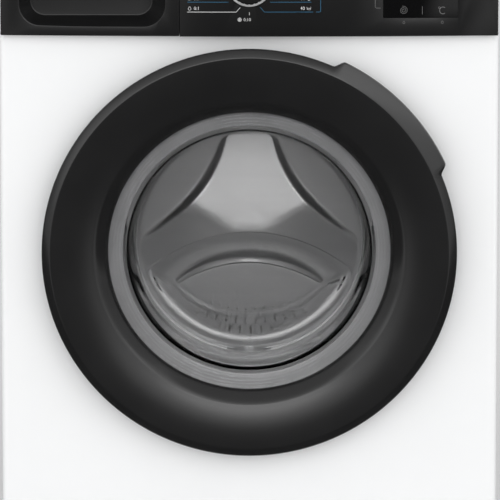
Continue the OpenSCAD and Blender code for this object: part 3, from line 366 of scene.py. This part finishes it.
enamel = finish("white enamel paint", (0.86, 0.865, 0.87), 0.34, tone=0.012, patch=5, grain=420,
                depth=0.012, rough_play=0.04, **{"Specular IOR Level": 0.5})
white_plastic = finish("white moulded plastic", (0.83, 0.83, 0.82), 0.42, tone=0.02, patch=9, grain=1900,
                       depth=0.03)
laminate = finish("worktop laminate", (0.84, 0.84, 0.83), 0.46, tone=0.02, patch=30, grain=1500, depth=0.06)
speckled(laminate, (0.77, 0.77, 0.76), size=900, share=0.7, lift=0.5)
galvanised = finish("galvanised steel", (0.56, 0.57, 0.58), 0.38, tone=0.14, patch=60, grain=300,
                    depth=0.02, Metallic=1.0)
speckled(galvanised, (0.68, 0.69, 0.7), size=110, share=0.55, lift=0.5)
fascia_black = finish("black fascia plastic", (0.005, 0.005, 0.0052), 0.3, tone=0.12, patch=20, grain=2600,
                      depth=0.012, rough_play=0.05, **{"Specular IOR Level": 0.4})
door_black = finish("black door plastic", (0.009, 0.009, 0.0092), 0.2, tone=0.12, patch=20, grain=2400,
                    depth=0.004, rough_play=0.03, **{"Specular IOR Level": 0.5})
display_black = finish("display glass", (0.0022, 0.0022, 0.0024), 0.1, tone=0.1, patch=12, grain=600,
                       depth=0.0, rough_play=0.03, **{"Specular IOR Level": 0.35})
glass = clear_glass("door glass", (0.95, 0.95, 0.95), ior=1.34)
satin_silver = finish("satin silver", (0.6, 0.6, 0.605), 0.42, tone=0.03, patch=200, grain=1800,
                      depth=0.01, Metallic=0.35)
stainless = finish("stainless drum steel", (0.58, 0.58, 0.585), 0.32, tone=0.03, patch=18, grain=700,
                   depth=0.003, stretch=(0.12, 1, 3), rough_play=0.04, Metallic=1.0)
zinc = finish("zinc plated steel", (0.55, 0.56, 0.57), 0.36, tone=0.1, patch=90, grain=900, depth=0.03,
              Metallic=1.0)
dark_plastic = finish("dark grey plastic", (0.032, 0.033, 0.035), 0.48, tone=0.1, patch=40, grain=1700)
grey_plastic = finish("grey plastic", (0.2, 0.2, 0.205), 0.5, tone=0.05, patch=40, grain=1600)
tub_plastic = finish("filled tub plastic", (0.6, 0.6, 0.57), 0.55, tone=0.05, patch=18, grain=800,
                     depth=0.12)
speckled(tub_plastic, (0.45, 0.45, 0.43), size=1300, share=0.8, lift=0.5)
drawer_white = finish("drawer plastic", (0.72, 0.73, 0.74), 0.38, tone=0.025, patch=30, grain=1500,
                      depth=0.03)
drawer_blue = finish("blue plastic", (0.03, 0.16, 0.42), 0.36, patch=40, grain=1500, depth=0.03)
rubber = finish("grey door rubber", (0.27, 0.27, 0.275), 0.55, tone=0.09, patch=45, grain=1300,
                depth=0.08, rough_play=0.1)
hose_rubber = finish("black hose rubber", (0.02, 0.02, 0.021), 0.58, tone=0.15, patch=70, grain=1100,
                     depth=0.1)
concrete = finish("cast weight", (0.3, 0.29, 0.275), 0.85, tone=0.2, patch=50, grain=420, depth=0.5)
speckled(concrete, (0.16, 0.155, 0.15), size=240, share=0.78, lift=0.8)
aluminium = finish("cast aluminium", (0.56, 0.57, 0.58), 0.42, tone=0.12, patch=120, grain=700,
                   depth=0.1, Metallic=1.0)
board_green = finish("circuit board", (0.012, 0.09, 0.035), 0.35, tone=0.2, patch=200, grain=1200,
                     depth=0.03)
speckled(board_green, (0.35, 0.3, 0.12), size=420, share=0.86)
white_print = finish("white print", (0.62, 0.62, 0.62), 0.5, tone=0.04, patch=300, grain=1500, depth=0.01)
blue_print = finish("blue print", (0.008, 0.1, 0.19), 0.5, tone=0.05, patch=300, grain=1500, depth=0.01)
grey_print = finish("grey print", (0.12, 0.12, 0.12), 0.5, tone=0.05, patch=300, grain=1500, depth=0.01)
# painted shadow: near black for the insides of the drum wall's hole pits, in place of the shade seen through
# open holes
painted_hole_shadow = finish("drum hole shadow", (0.012, 0.012, 0.012), 0.6, tone=0.1, patch=200, grain=1500,
                   depth=0.01)

SLOT_FINISH = {
    "white_paint": enamel, "white_plastic": white_plastic, "worktop_laminate": laminate,
    "galvanised": galvanised, "black_fascia": fascia_black, "black_door": door_black,
    "display_glass": display_black, "door_glass": glass, "chrome_ring": satin_silver, "steel": stainless,
    "zinc_steel": zinc, "dark_plastic": dark_plastic, "grey_plastic": grey_plastic,
    "tub_plastic": tub_plastic, "drawer_plastic": drawer_white, "blue_plastic": drawer_blue,
    "rubber": rubber, "hose_rubber": hose_rubber, "cast_weight": concrete, "aluminium": aluminium,
    "board": board_green,
}
BODY_OF = {node: body for body, held in frame["record"]["behaviour"]["bodies"].items() for node in held}
SLOT_OF = {part["node"]: part["material_slot"] for part in frame["record"]["subparts"]}


# Door

FACE_OUT, FACE_DROP, FACE_WIDE = 37, 6.8, 52.5     # the ring's face falls away towards the glass
RIM_FOOT = 240.5                                   # where the ring's face ends and its rim begins
RIM_WIDE = 9.5
GRIP_FROM, GRIP_TO, GRIP_RISE = 22.5, 66.3, 2.6    # degrees round the door
GRIP_PULL = 10


def ring_face(r):
    """How far out the ring's face lies at a radius."""
    return FACE_OUT - FACE_DROP * ((RIM_FOOT - r) / FACE_WIDE) ** 2


def grip_share(angle):
    """How much of the grip's width there is at an angle round the door, in degrees."""
    return ease(min(angle - GRIP_FROM, GRIP_TO - angle) / GRIP_RISE)


def make_door_ring():
    """The black ring, with the grip pulled out of its rim."""
    face = [(r, ring_face(r)) for r in (188, 192, 197, 203, 210, 217, 224, 230, 235, 238.6, 239.9)]
    lip = [(170, 14), (170.2, 15.6), (171.2, 17.8), (175.5, 21.6), (180, 25.4), (182.6, 27.5), (184.6, 28.9),
           (186.2, 29.8)]
    rim = [(240.6, 36.9), (241.4, 36.5), (243.6, 35.3), (246.4, 33.4), (248.6, 31.8), (249.5, 30.9),
           (249.95, 29.6), (250, 28), (249.5, 26.8), (249, 25.2), (246, 16.5), (242.6, 6.4), (242, 5),
           (239, 5)]
    back = [(246.6, 26.8), (238.6, 33.0), (225, 33.2), (210, 31.7), (195, 29), (186, 25.6), (178.5, 18.5),
            (178.5, 14)]
    ring = turned("Door_ring", lip + face + rim + back, steps=720)
    for v in ring.data.vertices:
        x, z = v.co.x, v.co.z - AXIS
        r, out = math.hypot(x, z) / MM, (FACE - v.co.y) / MM
        share = grip_share(math.degrees(math.atan2(z, x)) % 360)
        if share and r > RIM_FOOT + 0.05 and out > 25.6:
            wide = (r - RIM_FOOT) / RIM_WIDE
            new = r + GRIP_PULL * min(1, wide) * share
            v.co.x, v.co.z = x * new / r, AXIS + z * new / r
            v.co.y += share * (2.2 if out < 30.2 else 1.4 * min(1, wide)) * MM
    hinge_low = Vector((-0.256, FACE - 0.0275, AXIS - 0.046))
    hinge_high = Vector((-0.226, FACE + 0.01, AXIS + 0.046))
    cut(ring, block("pocket", hinge_low, hinge_high))
    smooth(ring, 34)
    return dress(ring, door_black, "door", ["door_outer_ring"])


def soft_least(a, b, k):
    """The smaller of two values, with the corner between them rounded."""
    h = max(k - abs(a - b), 0) / k
    return min(a, b) - h * h * k / 4


def ease(t):
    """A soft step from 0 to 1."""
    t = max(0.0, min(1.0, t))
    return t * t * (3 - 2 * t)


DEFLECTOR_DEEP = 36


def deflector_share(x, z, shrink):
    """How far up the deflector's slope a point lies, from 0 at its foot to 1 on its end face."""
    def slope(foot_z, foot_r, end_z, end_r):
        foot = foot_r - shrink - math.hypot(x, z - foot_z)
        end = end_r - shrink - math.hypot(x, z - end_z)
        return foot / max(foot - end, 0.5)
    return soft_least(slope(-171.5, 176.5, -189, 158), slope(4, 128.5, 19.9, 125.9), 0.2)


def grooved(first, last, out, pitch, depth):
    """Points of a face with fine rings pressed into it, from one radius to another."""
    points = []
    step = pitch if last > first else -pitch
    for i in range(int(abs(last - first) / pitch)):
        r = first + step * i
        points += [(r, out), (r + 0.35 * step, out), (r + 0.5 * step, out - depth), (r + 0.65 * step, out)]
    return points


def make_glass_bowl():
    """The pressed glass: a flange, a round bowl and the eye shaped deflector low in its back."""
    spokes = [0] + [3 + 2.2 * i for i in range(57)] + [128.4]
    outer = [(r, -60) for r in spokes] + arc((131, -49), 11, -86, -4, 8)
    flange = [(143.6, -30), (146.4, -10), (148.6, 4), (149, 7.9), (150.2, 8.5), (166, 8.5), (177.4, 8.5),
              (178, 9.1), (178, 12.6), (177.2, 13.5)]
    mouth = [(154, 13.4), (151.6, 12.9), (149.4, 11.8), (147.4, 10.0), (146, 7.6), (144.9, 4), (143.4, -4),
             (141.5, -14), (139, -30)]
    inner = arc((130.5, -48.5), 6.5, -4, -86, 6) + [(r, -55) for r in reversed(spokes)]
    outline = outer + flange + grooved(173, 154.5, 13.5, 3.7, 0.3) + mouth + inner
    bowl = turned("Door_glass", outline, steps=240, closed=False)
    for v in bowl.data.vertices:
        x, z, out = v.co.x / MM, (v.co.z - AXIS) / MM, (FACE - v.co.y) / MM
        if out > -54.9 or math.hypot(x, z) > 134:
            continue
        share = deflector_share(x, z, 4.0 if out > -57 else 0.0)
        v.co.y += DEFLECTOR_DEEP * ease(0.1 + 0.8 * share) / ease(0.9) * MM
    smooth(bowl, 50)
    return dress(bowl, glass, "door", ["door_glass"])


# Gasket

def walled(path, thick):
    """A closed outline of even thickness round an open path."""
    one, other = [], []
    for i, (r, out) in enumerate(path):
        a, b = path[max(i - 1, 0)], path[min(i + 1, len(path) - 1)]
        along = math.hypot(b[0] - a[0], b[1] - a[1])
        side = ((a[1] - b[1]) / along * thick / 2, (b[0] - a[0]) / along * thick / 2)
        one.append((r + side[0], out + side[1]))
        other.append((r - side[0], out - side[1]))
    return one + other[::-1]


def make_gasket():
    """The rubber bellows between the front panel and the tub, with its sealing lip."""
    folds = ([(151.2, -11.6), (152, -13.6), (156, -16), (161, -18.4), (165.5, -20)]
             + arc((172, -26.6), 5.6, 125, -60, 8) + arc((174, -36.6), 5.2, 110, 200, 5)
             + arc((166.6, -42), 3, 30, -40, 4) + [(169.8, -47), (170, -49.6)])
    gasket = turned("Door_gasket", walled(folds, 2.6), steps=180)
    smooth(gasket, 40)
    gasket.data.materials.append(rubber)
    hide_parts("door_gasket")
    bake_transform(gasket)
    return gasket


# Drum

HUB_OUT, RIM_OUT = -309.5, -322.5
ARM_LOW = 75
ARM_BLEND, ARM_TILT, ARM_LONG = 12, 0.09, 140
WALL_R, WALL_THICK = 237.0, 1.0
WALL_FRONT, WALL_BACK = -68.0, -316.0
HOLE_ROWS, HOLE_COLUMNS = 20, 120


def pocket_share(x, z):
    """How deep a point lies in one of the three pockets pressed between the arms, from 0 to 1."""
    deepest = 0.0
    for turn in (30, 150, 270):
        a = math.radians(turn)
        along, across = x * math.cos(a) + z * math.sin(a), -x * math.sin(a) + z * math.cos(a)
        edge = math.sqrt(54 ** 2 + (0.57 * across) ** 2)
        deepest = max(deepest, ease((along - edge) / 9))
    return deepest * ease((229 - math.hypot(x, z)) / 9)


def drum_back_out(x, z):
    """How far out the drum's pressed back lies: a hub, three sloping arms and the pockets between."""
    arms = [x * math.cos(math.radians(a)) + z * math.sin(math.radians(a)) for a in (90, 210, 330)]
    along = -soft_least(soft_least(-arms[0] - ARM_LOW, -arms[1], ARM_BLEND), -arms[2], ARM_BLEND)
    out = HUB_OUT - ARM_TILT * min(max(along - ARM_LOW / 2, 0), ARM_LONG)
    return out + pocket_share(x, z) * (RIM_OUT + 0.3 - out)


BACK_RINGS, RING_STEP, BACK_STEPS = 44, 2.6, 320
PIERCED_RINGS = (38, 40, 42, 46, 48, 50)
PIERCED_HALF = 42                                  # degrees to either side of a pocket's middle


def is_pierced(face):
    """Whether a face of the drum's flat back is one of the staggered holes low in a pocket."""
    x, z = face.center.x / MM, (face.center.z - AXIS) / MM
    ring = int((math.hypot(x, z) - BACK_RINGS) / RING_STEP)
    angle = math.degrees(math.atan2(z, x)) % 360
    step = int(angle / 360 * BACK_STEPS)
    aside = (angle - 30) % 120
    return ring in PIERCED_RINGS and (step + ring) % 4 == 0 and min(aside, 120 - aside) < PIERCED_HALF


def make_drum_back():
    """The pressed back of the drum."""
    rings = [0, 8, 18, 30, 40] + [BACK_RINGS + RING_STEP * i for i in range(72)] + [233, 235, 236.9]
    back = turned("Drum_back", [(r, HUB_OUT) for r in rings], steps=BACK_STEPS, closed=False)
    if back.data.polygons[0].normal.y > 0:
        bpy.ops.object.mode_set(mode="EDIT")
        bpy.ops.mesh.select_all(action="SELECT")
        bpy.ops.mesh.flip_normals()
        bpy.ops.object.mode_set(mode="OBJECT")
    pick_faces(back, is_pierced)
    bpy.ops.mesh.inset(thickness=0.2 * MM, use_individual=True)
    bpy.ops.mesh.bevel(offset=0.62 * MM, segments=1, affect="VERTICES")
    pick_faces(back, lambda f: len(f.vertices) == 8 and f.area < 12e-6)
    bpy.ops.mesh.delete(type="FACE")
    bpy.ops.object.mode_set(mode="OBJECT")
    for v in back.data.vertices:
        x, z = v.co.x / MM, (v.co.z - AXIS) / MM
        v.co.y = FACE - drum_back_out(x, z) * MM
    use(back, "SOLIDIFY", thickness=0.7 * MM, offset=-1)
    smooth(back, 60)
    return dress(back, stainless, "drum", ["drum_back"])


def pick_faces(obj, test):
    """Selects the faces whose middle and area pass a test, and opens the piece for editing."""
    object_mode()
    take(obj)
    bpy.ops.object.mode_set(mode="EDIT")
    bpy.ops.mesh.select_mode(type="FACE")
    bpy.ops.mesh.select_all(action="DESELECT")
    bpy.ops.object.mode_set(mode="OBJECT")
    for face in obj.data.polygons:
        face.select = test(face)
    bpy.ops.object.mode_set(mode="EDIT")


def make_drum_wall():
    """The drum's wall with staggered rows of shallow hole pits whose insides carry a painted shadow, its
    folded front and the rolled mouth.
    """
    half = math.pi / HOLE_COLUMNS
    row = (WALL_FRONT - WALL_BACK) / HOLE_ROWS
    start_fresh()
    bpy.ops.mesh.primitive_grid_add(x_subdivisions=1, y_subdivisions=HOLE_ROWS, size=1)
    strip = bpy.context.object
    strip.scale = (2 * WALL_R * MM * math.sin(half), (WALL_FRONT - WALL_BACK) * MM, 1)
    strip.rotation_euler = (0, -(math.pi / 2 + half), 0)
    strip.location = on_axis(WALL_R * math.cos(half), (WALL_FRONT + WALL_BACK) / 2, math.degrees(half))
    settle(strip)
    strip.data.materials.append(stainless)
    strip.data.materials.append(painted_hole_shadow)
    tangent = Vector((-math.sin(half), 0, math.cos(half)))
    bpy.ops.object.mode_set(mode="EDIT")
    bpy.ops.mesh.select_all(action="SELECT")
    bpy.ops.mesh.inset(thickness=4.4 * MM, use_individual=True)
    for odd in (0, 1):
        pick_faces(strip, lambda f: f.area < 20e-6
                   and int(((FACE - f.center.y) / MM - WALL_BACK) / row) % 2 == odd)
        bpy.ops.transform.translate(value=tangent * (2 * odd - 1) * row / 4 * MM)
    pick_faces(strip, lambda f: f.area < 20e-6)
    bpy.ops.mesh.bevel(offset=1.05 * MM, segments=1, affect="VERTICES")
    pick_faces(strip, lambda f: len(f.vertices) == 8 and f.area < 14e-6)
    bpy.ops.mesh.inset(thickness=0.55 * MM, depth=-0.3 * MM, use_individual=True)
    bpy.ops.mesh.inset(thickness=0.1 * MM, depth=-0.55 * MM, use_individual=True)
    # the hole pits take the second finish, a painted shadow that stands for the dark tub behind open holes
    strip.active_material_index = 1
    bpy.ops.object.material_slot_assign()
    bpy.ops.mesh.select_all(action="SELECT")
    bpy.ops.mesh.spin(steps=HOLE_COLUMNS - 1, angle=FULL_TURN * (1 - 1 / HOLE_COLUMNS), center=(0, 0, AXIS),
                      axis=(0, 1, 0), dupli=True)
    bpy.ops.object.mode_set(mode="OBJECT")
    outside = [(WALL_R, WALL_BACK), (WALL_R, -322.6), (WALL_R + WALL_THICK, -323), (WALL_R + WALL_THICK, -68)]
    front = arc((233, -68), 5, 0, 90, 6) + [(215, -63), (192, -62.6), (176, -62.2)]
    mouth = arc((168.6, -66.8), 4.6, 90, 270, 10) + [(172, -69.5), (178, -65.6), (192, -64), (232, -64.2)]
    inside = arc((232.6, -68.2), 4, 90, 10, 5) + [(WALL_R, WALL_FRONT)]
    shell = turned("Drum_shell_skin", outside + front + mouth + inside, steps=HOLE_COLUMNS, closed=False)
    shell.data.materials.append(stainless)
    shell.data.materials.append(painted_hole_shadow)
    wall = together("Drum_wall", shell, strip)
    close_up(wall, 4e-6)
    smooth(wall, 40)
    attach(wall, "drum")
    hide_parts("drum_shell")
    return wall


# Edges broken on carried over parts

SOFT_EDGES = {
    "worktop_board": (1.6, 4), "worktop_frame": (1.4, 3), "control_panel": (0.8, 3), "drawer_front": (1.6, 4),
    "plinth": (0.9, 3), "pump_flap": (0.7, 3), "rear_cover": (0.5, 2), "start_button": (0.5, 3),
    "programme_knob": (0.35, 2), "display_window": (0.25, 2), "hinge_leaf": (0.5, 2),
    "hinge_bracket": (0.5, 2),
    "door_hook": (0.4, 2), "detergent_drawer": (0.5, 2), "softener_siphon": (0.4, 2), "drum_lifters": (5, 4),
    "door_inner_ring": (0.6, 2), "transit_caps": (0.5, 2), "power_gland": (0.4, 2), "inlet_valve": (0.5, 2),
    "foot_front_left": (0.6, 2), "foot_front_right": (0.6, 2), "foot_rear_left": (0.6, 2),
    "foot_rear_right": (0.6, 2), "pump_filter": (0.5, 2), "cabinet_screws": (0.25, 2),
}


def soften_parts():
    """A copy of each part whose edges show, with its edges broken."""
    for node, (width, segments) in SOFT_EDGES.items():
        part = copy_of(node, node.capitalize())
        soften(part, width, segments, 34)
        smooth(part, 34)
        dress(part, SLOT_FINISH[SLOT_OF[node]], BODY_OF[node], [node])


# Hoses

CABINET_END_UP = {"dispenser_hose": True, "sump_hose": False}


def make_hoses():
    """The two short rubber hoses between the cabinet and the tub."""
    for node, end_up in CABINET_END_UP.items():
        hose = copy_of(node, node.capitalize())
        smooth(hose, 34)
        hose.data.materials.clear()
        hose.data.materials.append(hose_rubber)
        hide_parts(node)
        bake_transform(hose)


# Knob

def make_knob_ring():
    """The silver ring round the knob's foot."""
    lo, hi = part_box("knob_ring")
    out, inn = (FACE - lo.y) / MM, (FACE - hi.y) / MM
    rim = (hi.x - lo.x) / 2 / MM
    bore = rim - 4
    foot = [(bore, inn), (rim - 0.2, inn), (rim, inn + 0.4)]
    face = arc((rim - 1.6, out - 1.6), 1.6, 0, 90, 5) + arc((bore + 0.9, out - 0.9), 0.9, 90, 180, 4)
    ring = turned("Knob_ring", foot + face, steps=120, centre=((hi.x + lo.x) / 2, KNOB))
    smooth(ring, 40)
    return dress(ring, satin_silver, "knob", ["knob_ring"])


# Print

PRINT_THICK, PRINT_GAP = 0.05, 0.02
LINE, THIN_LINE = 0.65, 0.5
ROW_LOW, ROW_STEP, ROWS = 719.8, 12.0, 6
COLUMN_EDGE = 74.1
LINE_REACH = 33                                    # the blue lines end this far from the knob's middle
TIMES = ("0:15", "0:30", "0:45", "1:10", "1:50", "2:40")


def front_at(x, z):
    """How far out the front surface stands at a point of the fascia."""
    hit = bpy.context.scene.ray_cast(bpy.context.evaluated_depsgraph_get(), at(x, z, 80), (0, 1, 0))
    return (FACE - hit[1].y) / MM


def stations(path, gap=5.0):
    """A path with points added so that none lie further apart than the gap."""
    dense = [path[0]]
    for a, b in zip(path, path[1:]):
        count = math.ceil(math.hypot(b[0] - a[0], b[1] - a[1]) / gap)
        dense += [(a[0] + (b[0] - a[0]) * i / count, a[1] + (b[1] - a[1]) * i / count)
                  for i in range(1, count + 1)]
    return dense


def inked(points):
    """A closed outline of (x, z) laid on the front surface as a thin film."""
    laid = [at(x, z, front_at(x, z) + PRINT_GAP) for x, z in points]
    return extruded("ink", laid, Vector((0, -PRINT_THICK * MM, 0)))


def inked_line(path, width=0.7):
    """A printed stroke of even width."""
    return inked(walled(stations(path), width))


def inked_number(text, x, z, high=4.0, align="LEFT"):
    """A printed number, as high as asked."""
    start_fresh()
    bpy.ops.object.text_add()
    number = bpy.context.object
    number.data.body = text
    number.data.size = high * MM / 0.7
    number.data.align_x = align
    number.data.resolution_u = 2
    number.data.extrude = PRINT_THICK / 2 * MM
    take(number)
    bpy.ops.object.convert(target="MESH")
    number = bpy.context.object
    number.rotation_euler = (math.pi / 2, 0, 0)
    number.location = at(x, z, front_at(x, z) + 0.05)
    return settle(number)


def inked_basin(x, z, size=2.4):
    """A wash tub with a wavy water line."""
    foot, half = size * 0.75, size * 0.7
    sides = [(x - size, z + half), (x - foot, z - half), (x + foot, z - half), (x + size, z + half)]
    water = [(x - half + size * 0.2 * i, z + size * 0.12 * math.sin(i * 1.5)) for i in range(8)]
    return [inked_line(sides, 0.45), inked_line(water, 0.4)]


def inked_drop(x, z, size=2.2):
    """A drop, pointed at its top."""
    tip = [(x, z + size)]
    return [inked_line(tip + arc((x, z - size * 0.3), size * 0.75, 35, -215, 10) + tip, 0.45)]


def inked_spiral(x, z, size):
    """A sign for the spin, a line wound outwards."""
    reach = [size * (0.15 + 0.85 * t / 20) for t in range(21)]
    turns = [(x + r * math.cos(t * 0.72), z + r * math.sin(t * 0.72)) for t, r in enumerate(reach)]
    return [inked_line(turns, THIN_LINE)]


def inked_ring(x, z, r, width=THIN_LINE):
    """A printed ring."""
    return [inked_line(arc((x, z), r, 0, 360, 18), width)]


def programme_lines():
    """The white line under the knob's columns, and the blue lines that lead to the other rows."""
    low, edge = ROW_LOW, COLUMN_EDGE
    white = [inked_line([(-edge, low), (-45, low), (-15.8, low), (-10.8, low + 5.7)], LINE)]
    blue = [inked_line([(12.8, low + 6.1), (18.2, low), (45, low), (edge + 2.2, low)], LINE),
            inked_line([(79.9, low), (84.4, low), (85.3, low + 1), (85.3, low + 20), (85.3, low + 68)], LINE)]
    for k in range(1, ROWS):
        z = low + ROW_STEP * k
        end = math.sqrt(max(LINE_REACH ** 2 - (z - KNOB / MM) ** 2, 0)) + 0.5
        for side in (-1, 1):
            blue.append(inked_line([(side * edge, z), (side * (edge + end) / 2, z), (side * end, z)], LINE))
    return white, blue


def programme_rows():
    """A time and a sign on each row, to both sides of the knob, and the shortest one below it."""
    films = []
    for k in range(ROWS):
        z = ROW_LOW + ROW_STEP * k + 2.6
        films.append(inked_number(TIMES[k], -66.5, z))
        films.append(inked_number(TIMES[-1 - k], 66.5, z, align="RIGHT"))
        films += inked_basin(-71.4, z + 1.9) if k % 2 else inked_drop(-71.4, z + 1.9)
        films += inked_drop(71.2, z + 1.9) if k % 2 else inked_basin(71.2, z + 1.9)
    films.append(inked_line([(0, 716), (0, 719.6)], THIN_LINE))
    films += inked_ring(-11.6, 710.6, 2, 0.7) + inked_ring(-11.6, 710.6, 0.7, 0.8)
    films.append(inked_number("0:10", -7, 708.8, 3.7))
    return films


def display_signs():
    """The faint signs in and under the display, and the bracket to its left."""
    films = inked_spiral(184.4, 721.5, 5.2) + inked_ring(227.4, 724.4, 1.1)
    open_ring = [(231.6 + 3.9 * math.cos(math.radians(t)), 721 + 4.2 * math.sin(math.radians(t)))
                 for t in range(50, 311, 20)]
    films.append(inked_line(open_ring, 0.8))
    films.append(inked_line([(207, 716.4), (207, 726)], THIN_LINE))
    films += inked_drop(185, 706.9, 1.7) + inked_drop(231, 706.9, 1.7)
    bracket = [(150.6, 782), (150.6, 750), (150.6, 725.6), (151.9, 724.3), (157.2, 724.3)]
    return films + [inked_line(bracket, 0.6)]


def make_print():
    """The programme lines, numbers and signs round the knob, the display's signs and the start mark."""
    white, blue = programme_lines()
    white += programme_rows()
    grey = display_signs()
    mark = [(271.6, 770.6), (271.6, 777.4), (277.4, 774)]
    start = [inked_line(mark + mark[:1], 0.6)]
    dress(together("White_print", *white), white_print, "cabinet")
    dress(together("Blue_print", *blue), blue_print, "cabinet")
    dress(together("Grey_print", *grey), grey_print, "cabinet")
    dress(together("Start_mark", *start), white_print, "button")


# Stage

LAMP_TARGET = Vector((0, -0.1, 0.45))
CAMERA_TARGET = Vector((0.0008, -0.237, 0.4331))
CAMERA_FAR, CAMERA_PITCH = 8.5, math.radians(11.8)


def ramp(owner, value, start, end, low=0.0, high=1.0, kind="SMOOTHSTEP"):
    """A value carried from one range to another."""
    change = shade(owner, "ShaderNodeMapRange", interpolation_type=kind)
    for key, number in (("From Min", start), ("From Max", end), ("To Min", low), ("To Max", high)):
        change.inputs[key].default_value = number
    wire(owner, value, change.inputs["Value"])
    return change.outputs["Result"]


def reckon(owner, operation, first, second=None):
    """One sum done on one or two values."""
    answer = shade(owner, "ShaderNodeMath", operation=operation)
    wire(owner, first, answer.inputs[0])
    if second:
        wire(owner, second, answer.inputs[1])
    return answer.outputs["Value"]


def floor_finish():
    """A pale floor, which glossy surfaces see as a dark strip in front and light to the sides."""
    m = bpy.data.materials.new("pale floor")
    m.use_nodes = True
    skin = m.node_tree.nodes["Principled BSDF"]
    skin.inputs["Roughness"].default_value = 0.9
    skin.inputs["Specular IOR Level"].default_value = 0.1
    coord = shade(m, "ShaderNodeTexCoord")
    split = shade(m, "ShaderNodeSeparateXYZ")
    wire(m, coord.outputs["Object"], split.inputs["Vector"])
    aside = reckon(m, "ABSOLUTE", reckon(m, "DIVIDE", split.outputs["X"], split.outputs["Y"]))
    light = reckon(m, "MULTIPLY", ramp(m, aside, 0.2, 0.45), ramp(m, split.outputs["Y"], -1.0, -1.7))
    seen = shade(m, "ShaderNodeMix", data_type="RGBA")
    seen.inputs[6].default_value = (0.09, 0.09, 0.09, 1)
    seen.inputs[7].default_value = (0.95, 0.95, 0.95, 1)
    wire(m, light, seen.inputs["Factor"])
    ray = shade(m, "ShaderNodeLightPath")
    mix = shade(m, "ShaderNodeMix", data_type="RGBA")
    mix.inputs[6].default_value = (0.86, 0.86, 0.86, 1)
    wire(m, seen.outputs[2], mix.inputs[7])
    wire(m, ray.outputs["Is Glossy Ray"], mix.inputs["Factor"])
    wire(m, mix.outputs[2], skin.inputs["Base Color"])
    return m


def make_floor():
    """The floor under the feet."""
    start_fresh()
    bpy.ops.mesh.primitive_plane_add(size=60, location=(0, 0, 0))
    floor = bpy.context.object
    floor.name = "Floor"
    floor.data.materials.append(floor_finish())


def lamp(name, place, wide, high, watts):
    """A soft rectangular lamp aimed at the machine's middle."""
    light = bpy.data.lights.new(name, "AREA")
    light.shape = "RECTANGLE"
    light.size, light.size_y, light.energy = wide, high, watts
    obj = bpy.data.objects.new(name, light)
    obj.location = place
    obj.rotation_euler = (LAMP_TARGET - Vector(place)).to_track_quat("-Z", "Y").to_euler()
    bpy.context.scene.collection.objects.link(obj)


def make_world():
    """A pale room, brightest in front and dark straight ahead. Empty space shows as plain pale grey."""
    scene = bpy.context.scene
    scene.view_settings.view_transform = "Standard"
    world = scene.world or bpy.data.worlds.new("Studio")
    scene.world = world
    world.use_nodes = True
    world.node_tree.nodes.clear()
    coord = shade(world, "ShaderNodeTexCoord")
    ahead = shade(world, "ShaderNodeVectorMath", operation="DOT_PRODUCT")
    ahead.inputs[1].default_value = (0, -0.97, -0.24)
    wire(world, coord.outputs["Generated"], ahead.inputs[0])
    gap = ramp(world, ahead.outputs["Value"], 0.975, 0.93, 0.08, 1.0)
    frontal = ramp(world, ahead.outputs["Value"], 0.1, 0.85, 0.62, 1.74)
    split = shade(world, "ShaderNodeSeparateXYZ")
    wire(world, coord.outputs["Generated"], split.inputs[0])
    rise = ramp(world, split.outputs["Z"], -0.1, 0.3, 0.5, 1.0, kind="LINEAR")
    strength = reckon(world, "MULTIPLY", reckon(world, "MULTIPLY", gap, frontal), rise)
    room = shade(world, "ShaderNodeBackground")
    wire(world, strength, room.inputs["Strength"])
    room.inputs["Color"].default_value = (1, 1, 1, 1)
    plain = shade(world, "ShaderNodeBackground")
    plain.inputs["Color"].default_value = (0.93, 0.93, 0.93, 1)
    ray = shade(world, "ShaderNodeLightPath")
    mix = shade(world, "ShaderNodeMixShader")
    wire(world, ray.outputs["Is Camera Ray"], mix.inputs["Fac"])
    wire(world, room.outputs["Background"], mix.inputs[1])
    wire(world, plain.outputs["Background"], mix.inputs[2])
    out = shade(world, "ShaderNodeOutputWorld")
    wire(world, mix.outputs["Shader"], out.inputs["Surface"])


def make_lamps():
    """A key lamp, a weaker one opposite and a wide one in front."""
    lamp("Key", (3.0, -4.2, 3.6), 4.0, 3.0, 30)
    lamp("Fill", (-3.8, -3.6, 2.2), 3.4, 3.4, 14)
    lamp("Front", (0, -9.2, 2.9), 5.0, 2.2, 90)


def make_camera():
    """A long lens far in front and slightly above."""
    camera = bpy.data.cameras.new("Camera")
    camera.lens, camera.sensor_width = 509.3, 36
    obj = bpy.data.objects.new("Camera", camera)
    away = Vector((0, -math.cos(CAMERA_PITCH), math.sin(CAMERA_PITCH)))
    obj.location = CAMERA_TARGET + CAMERA_FAR * away
    obj.rotation_euler = (CAMERA_TARGET - obj.location).to_track_quat("-Z", "Y").to_euler()
    camera.clip_end = 200
    bpy.context.scene.collection.objects.link(obj)
    bpy.context.scene.camera = obj


def paint_nodes():
    """Every node of the frame takes the finish of its own material slot."""
    for part in frame["record"]["subparts"]:
        obj = nodes[part["node"]]
        material = SLOT_FINISH[part["material_slot"]]
        if not obj.material_slots:
            obj.data.materials.append(material)
        for place in obj.material_slots:
            place.link = "OBJECT"
            place.material = material


make_camera()
make_world()
make_lamps()
make_floor()
paint_nodes()
make_door_ring()
make_glass_bowl()
make_gasket()
make_drum_back()
make_drum_wall()
soften_parts()
make_hoses()
make_knob_ring()
make_print()
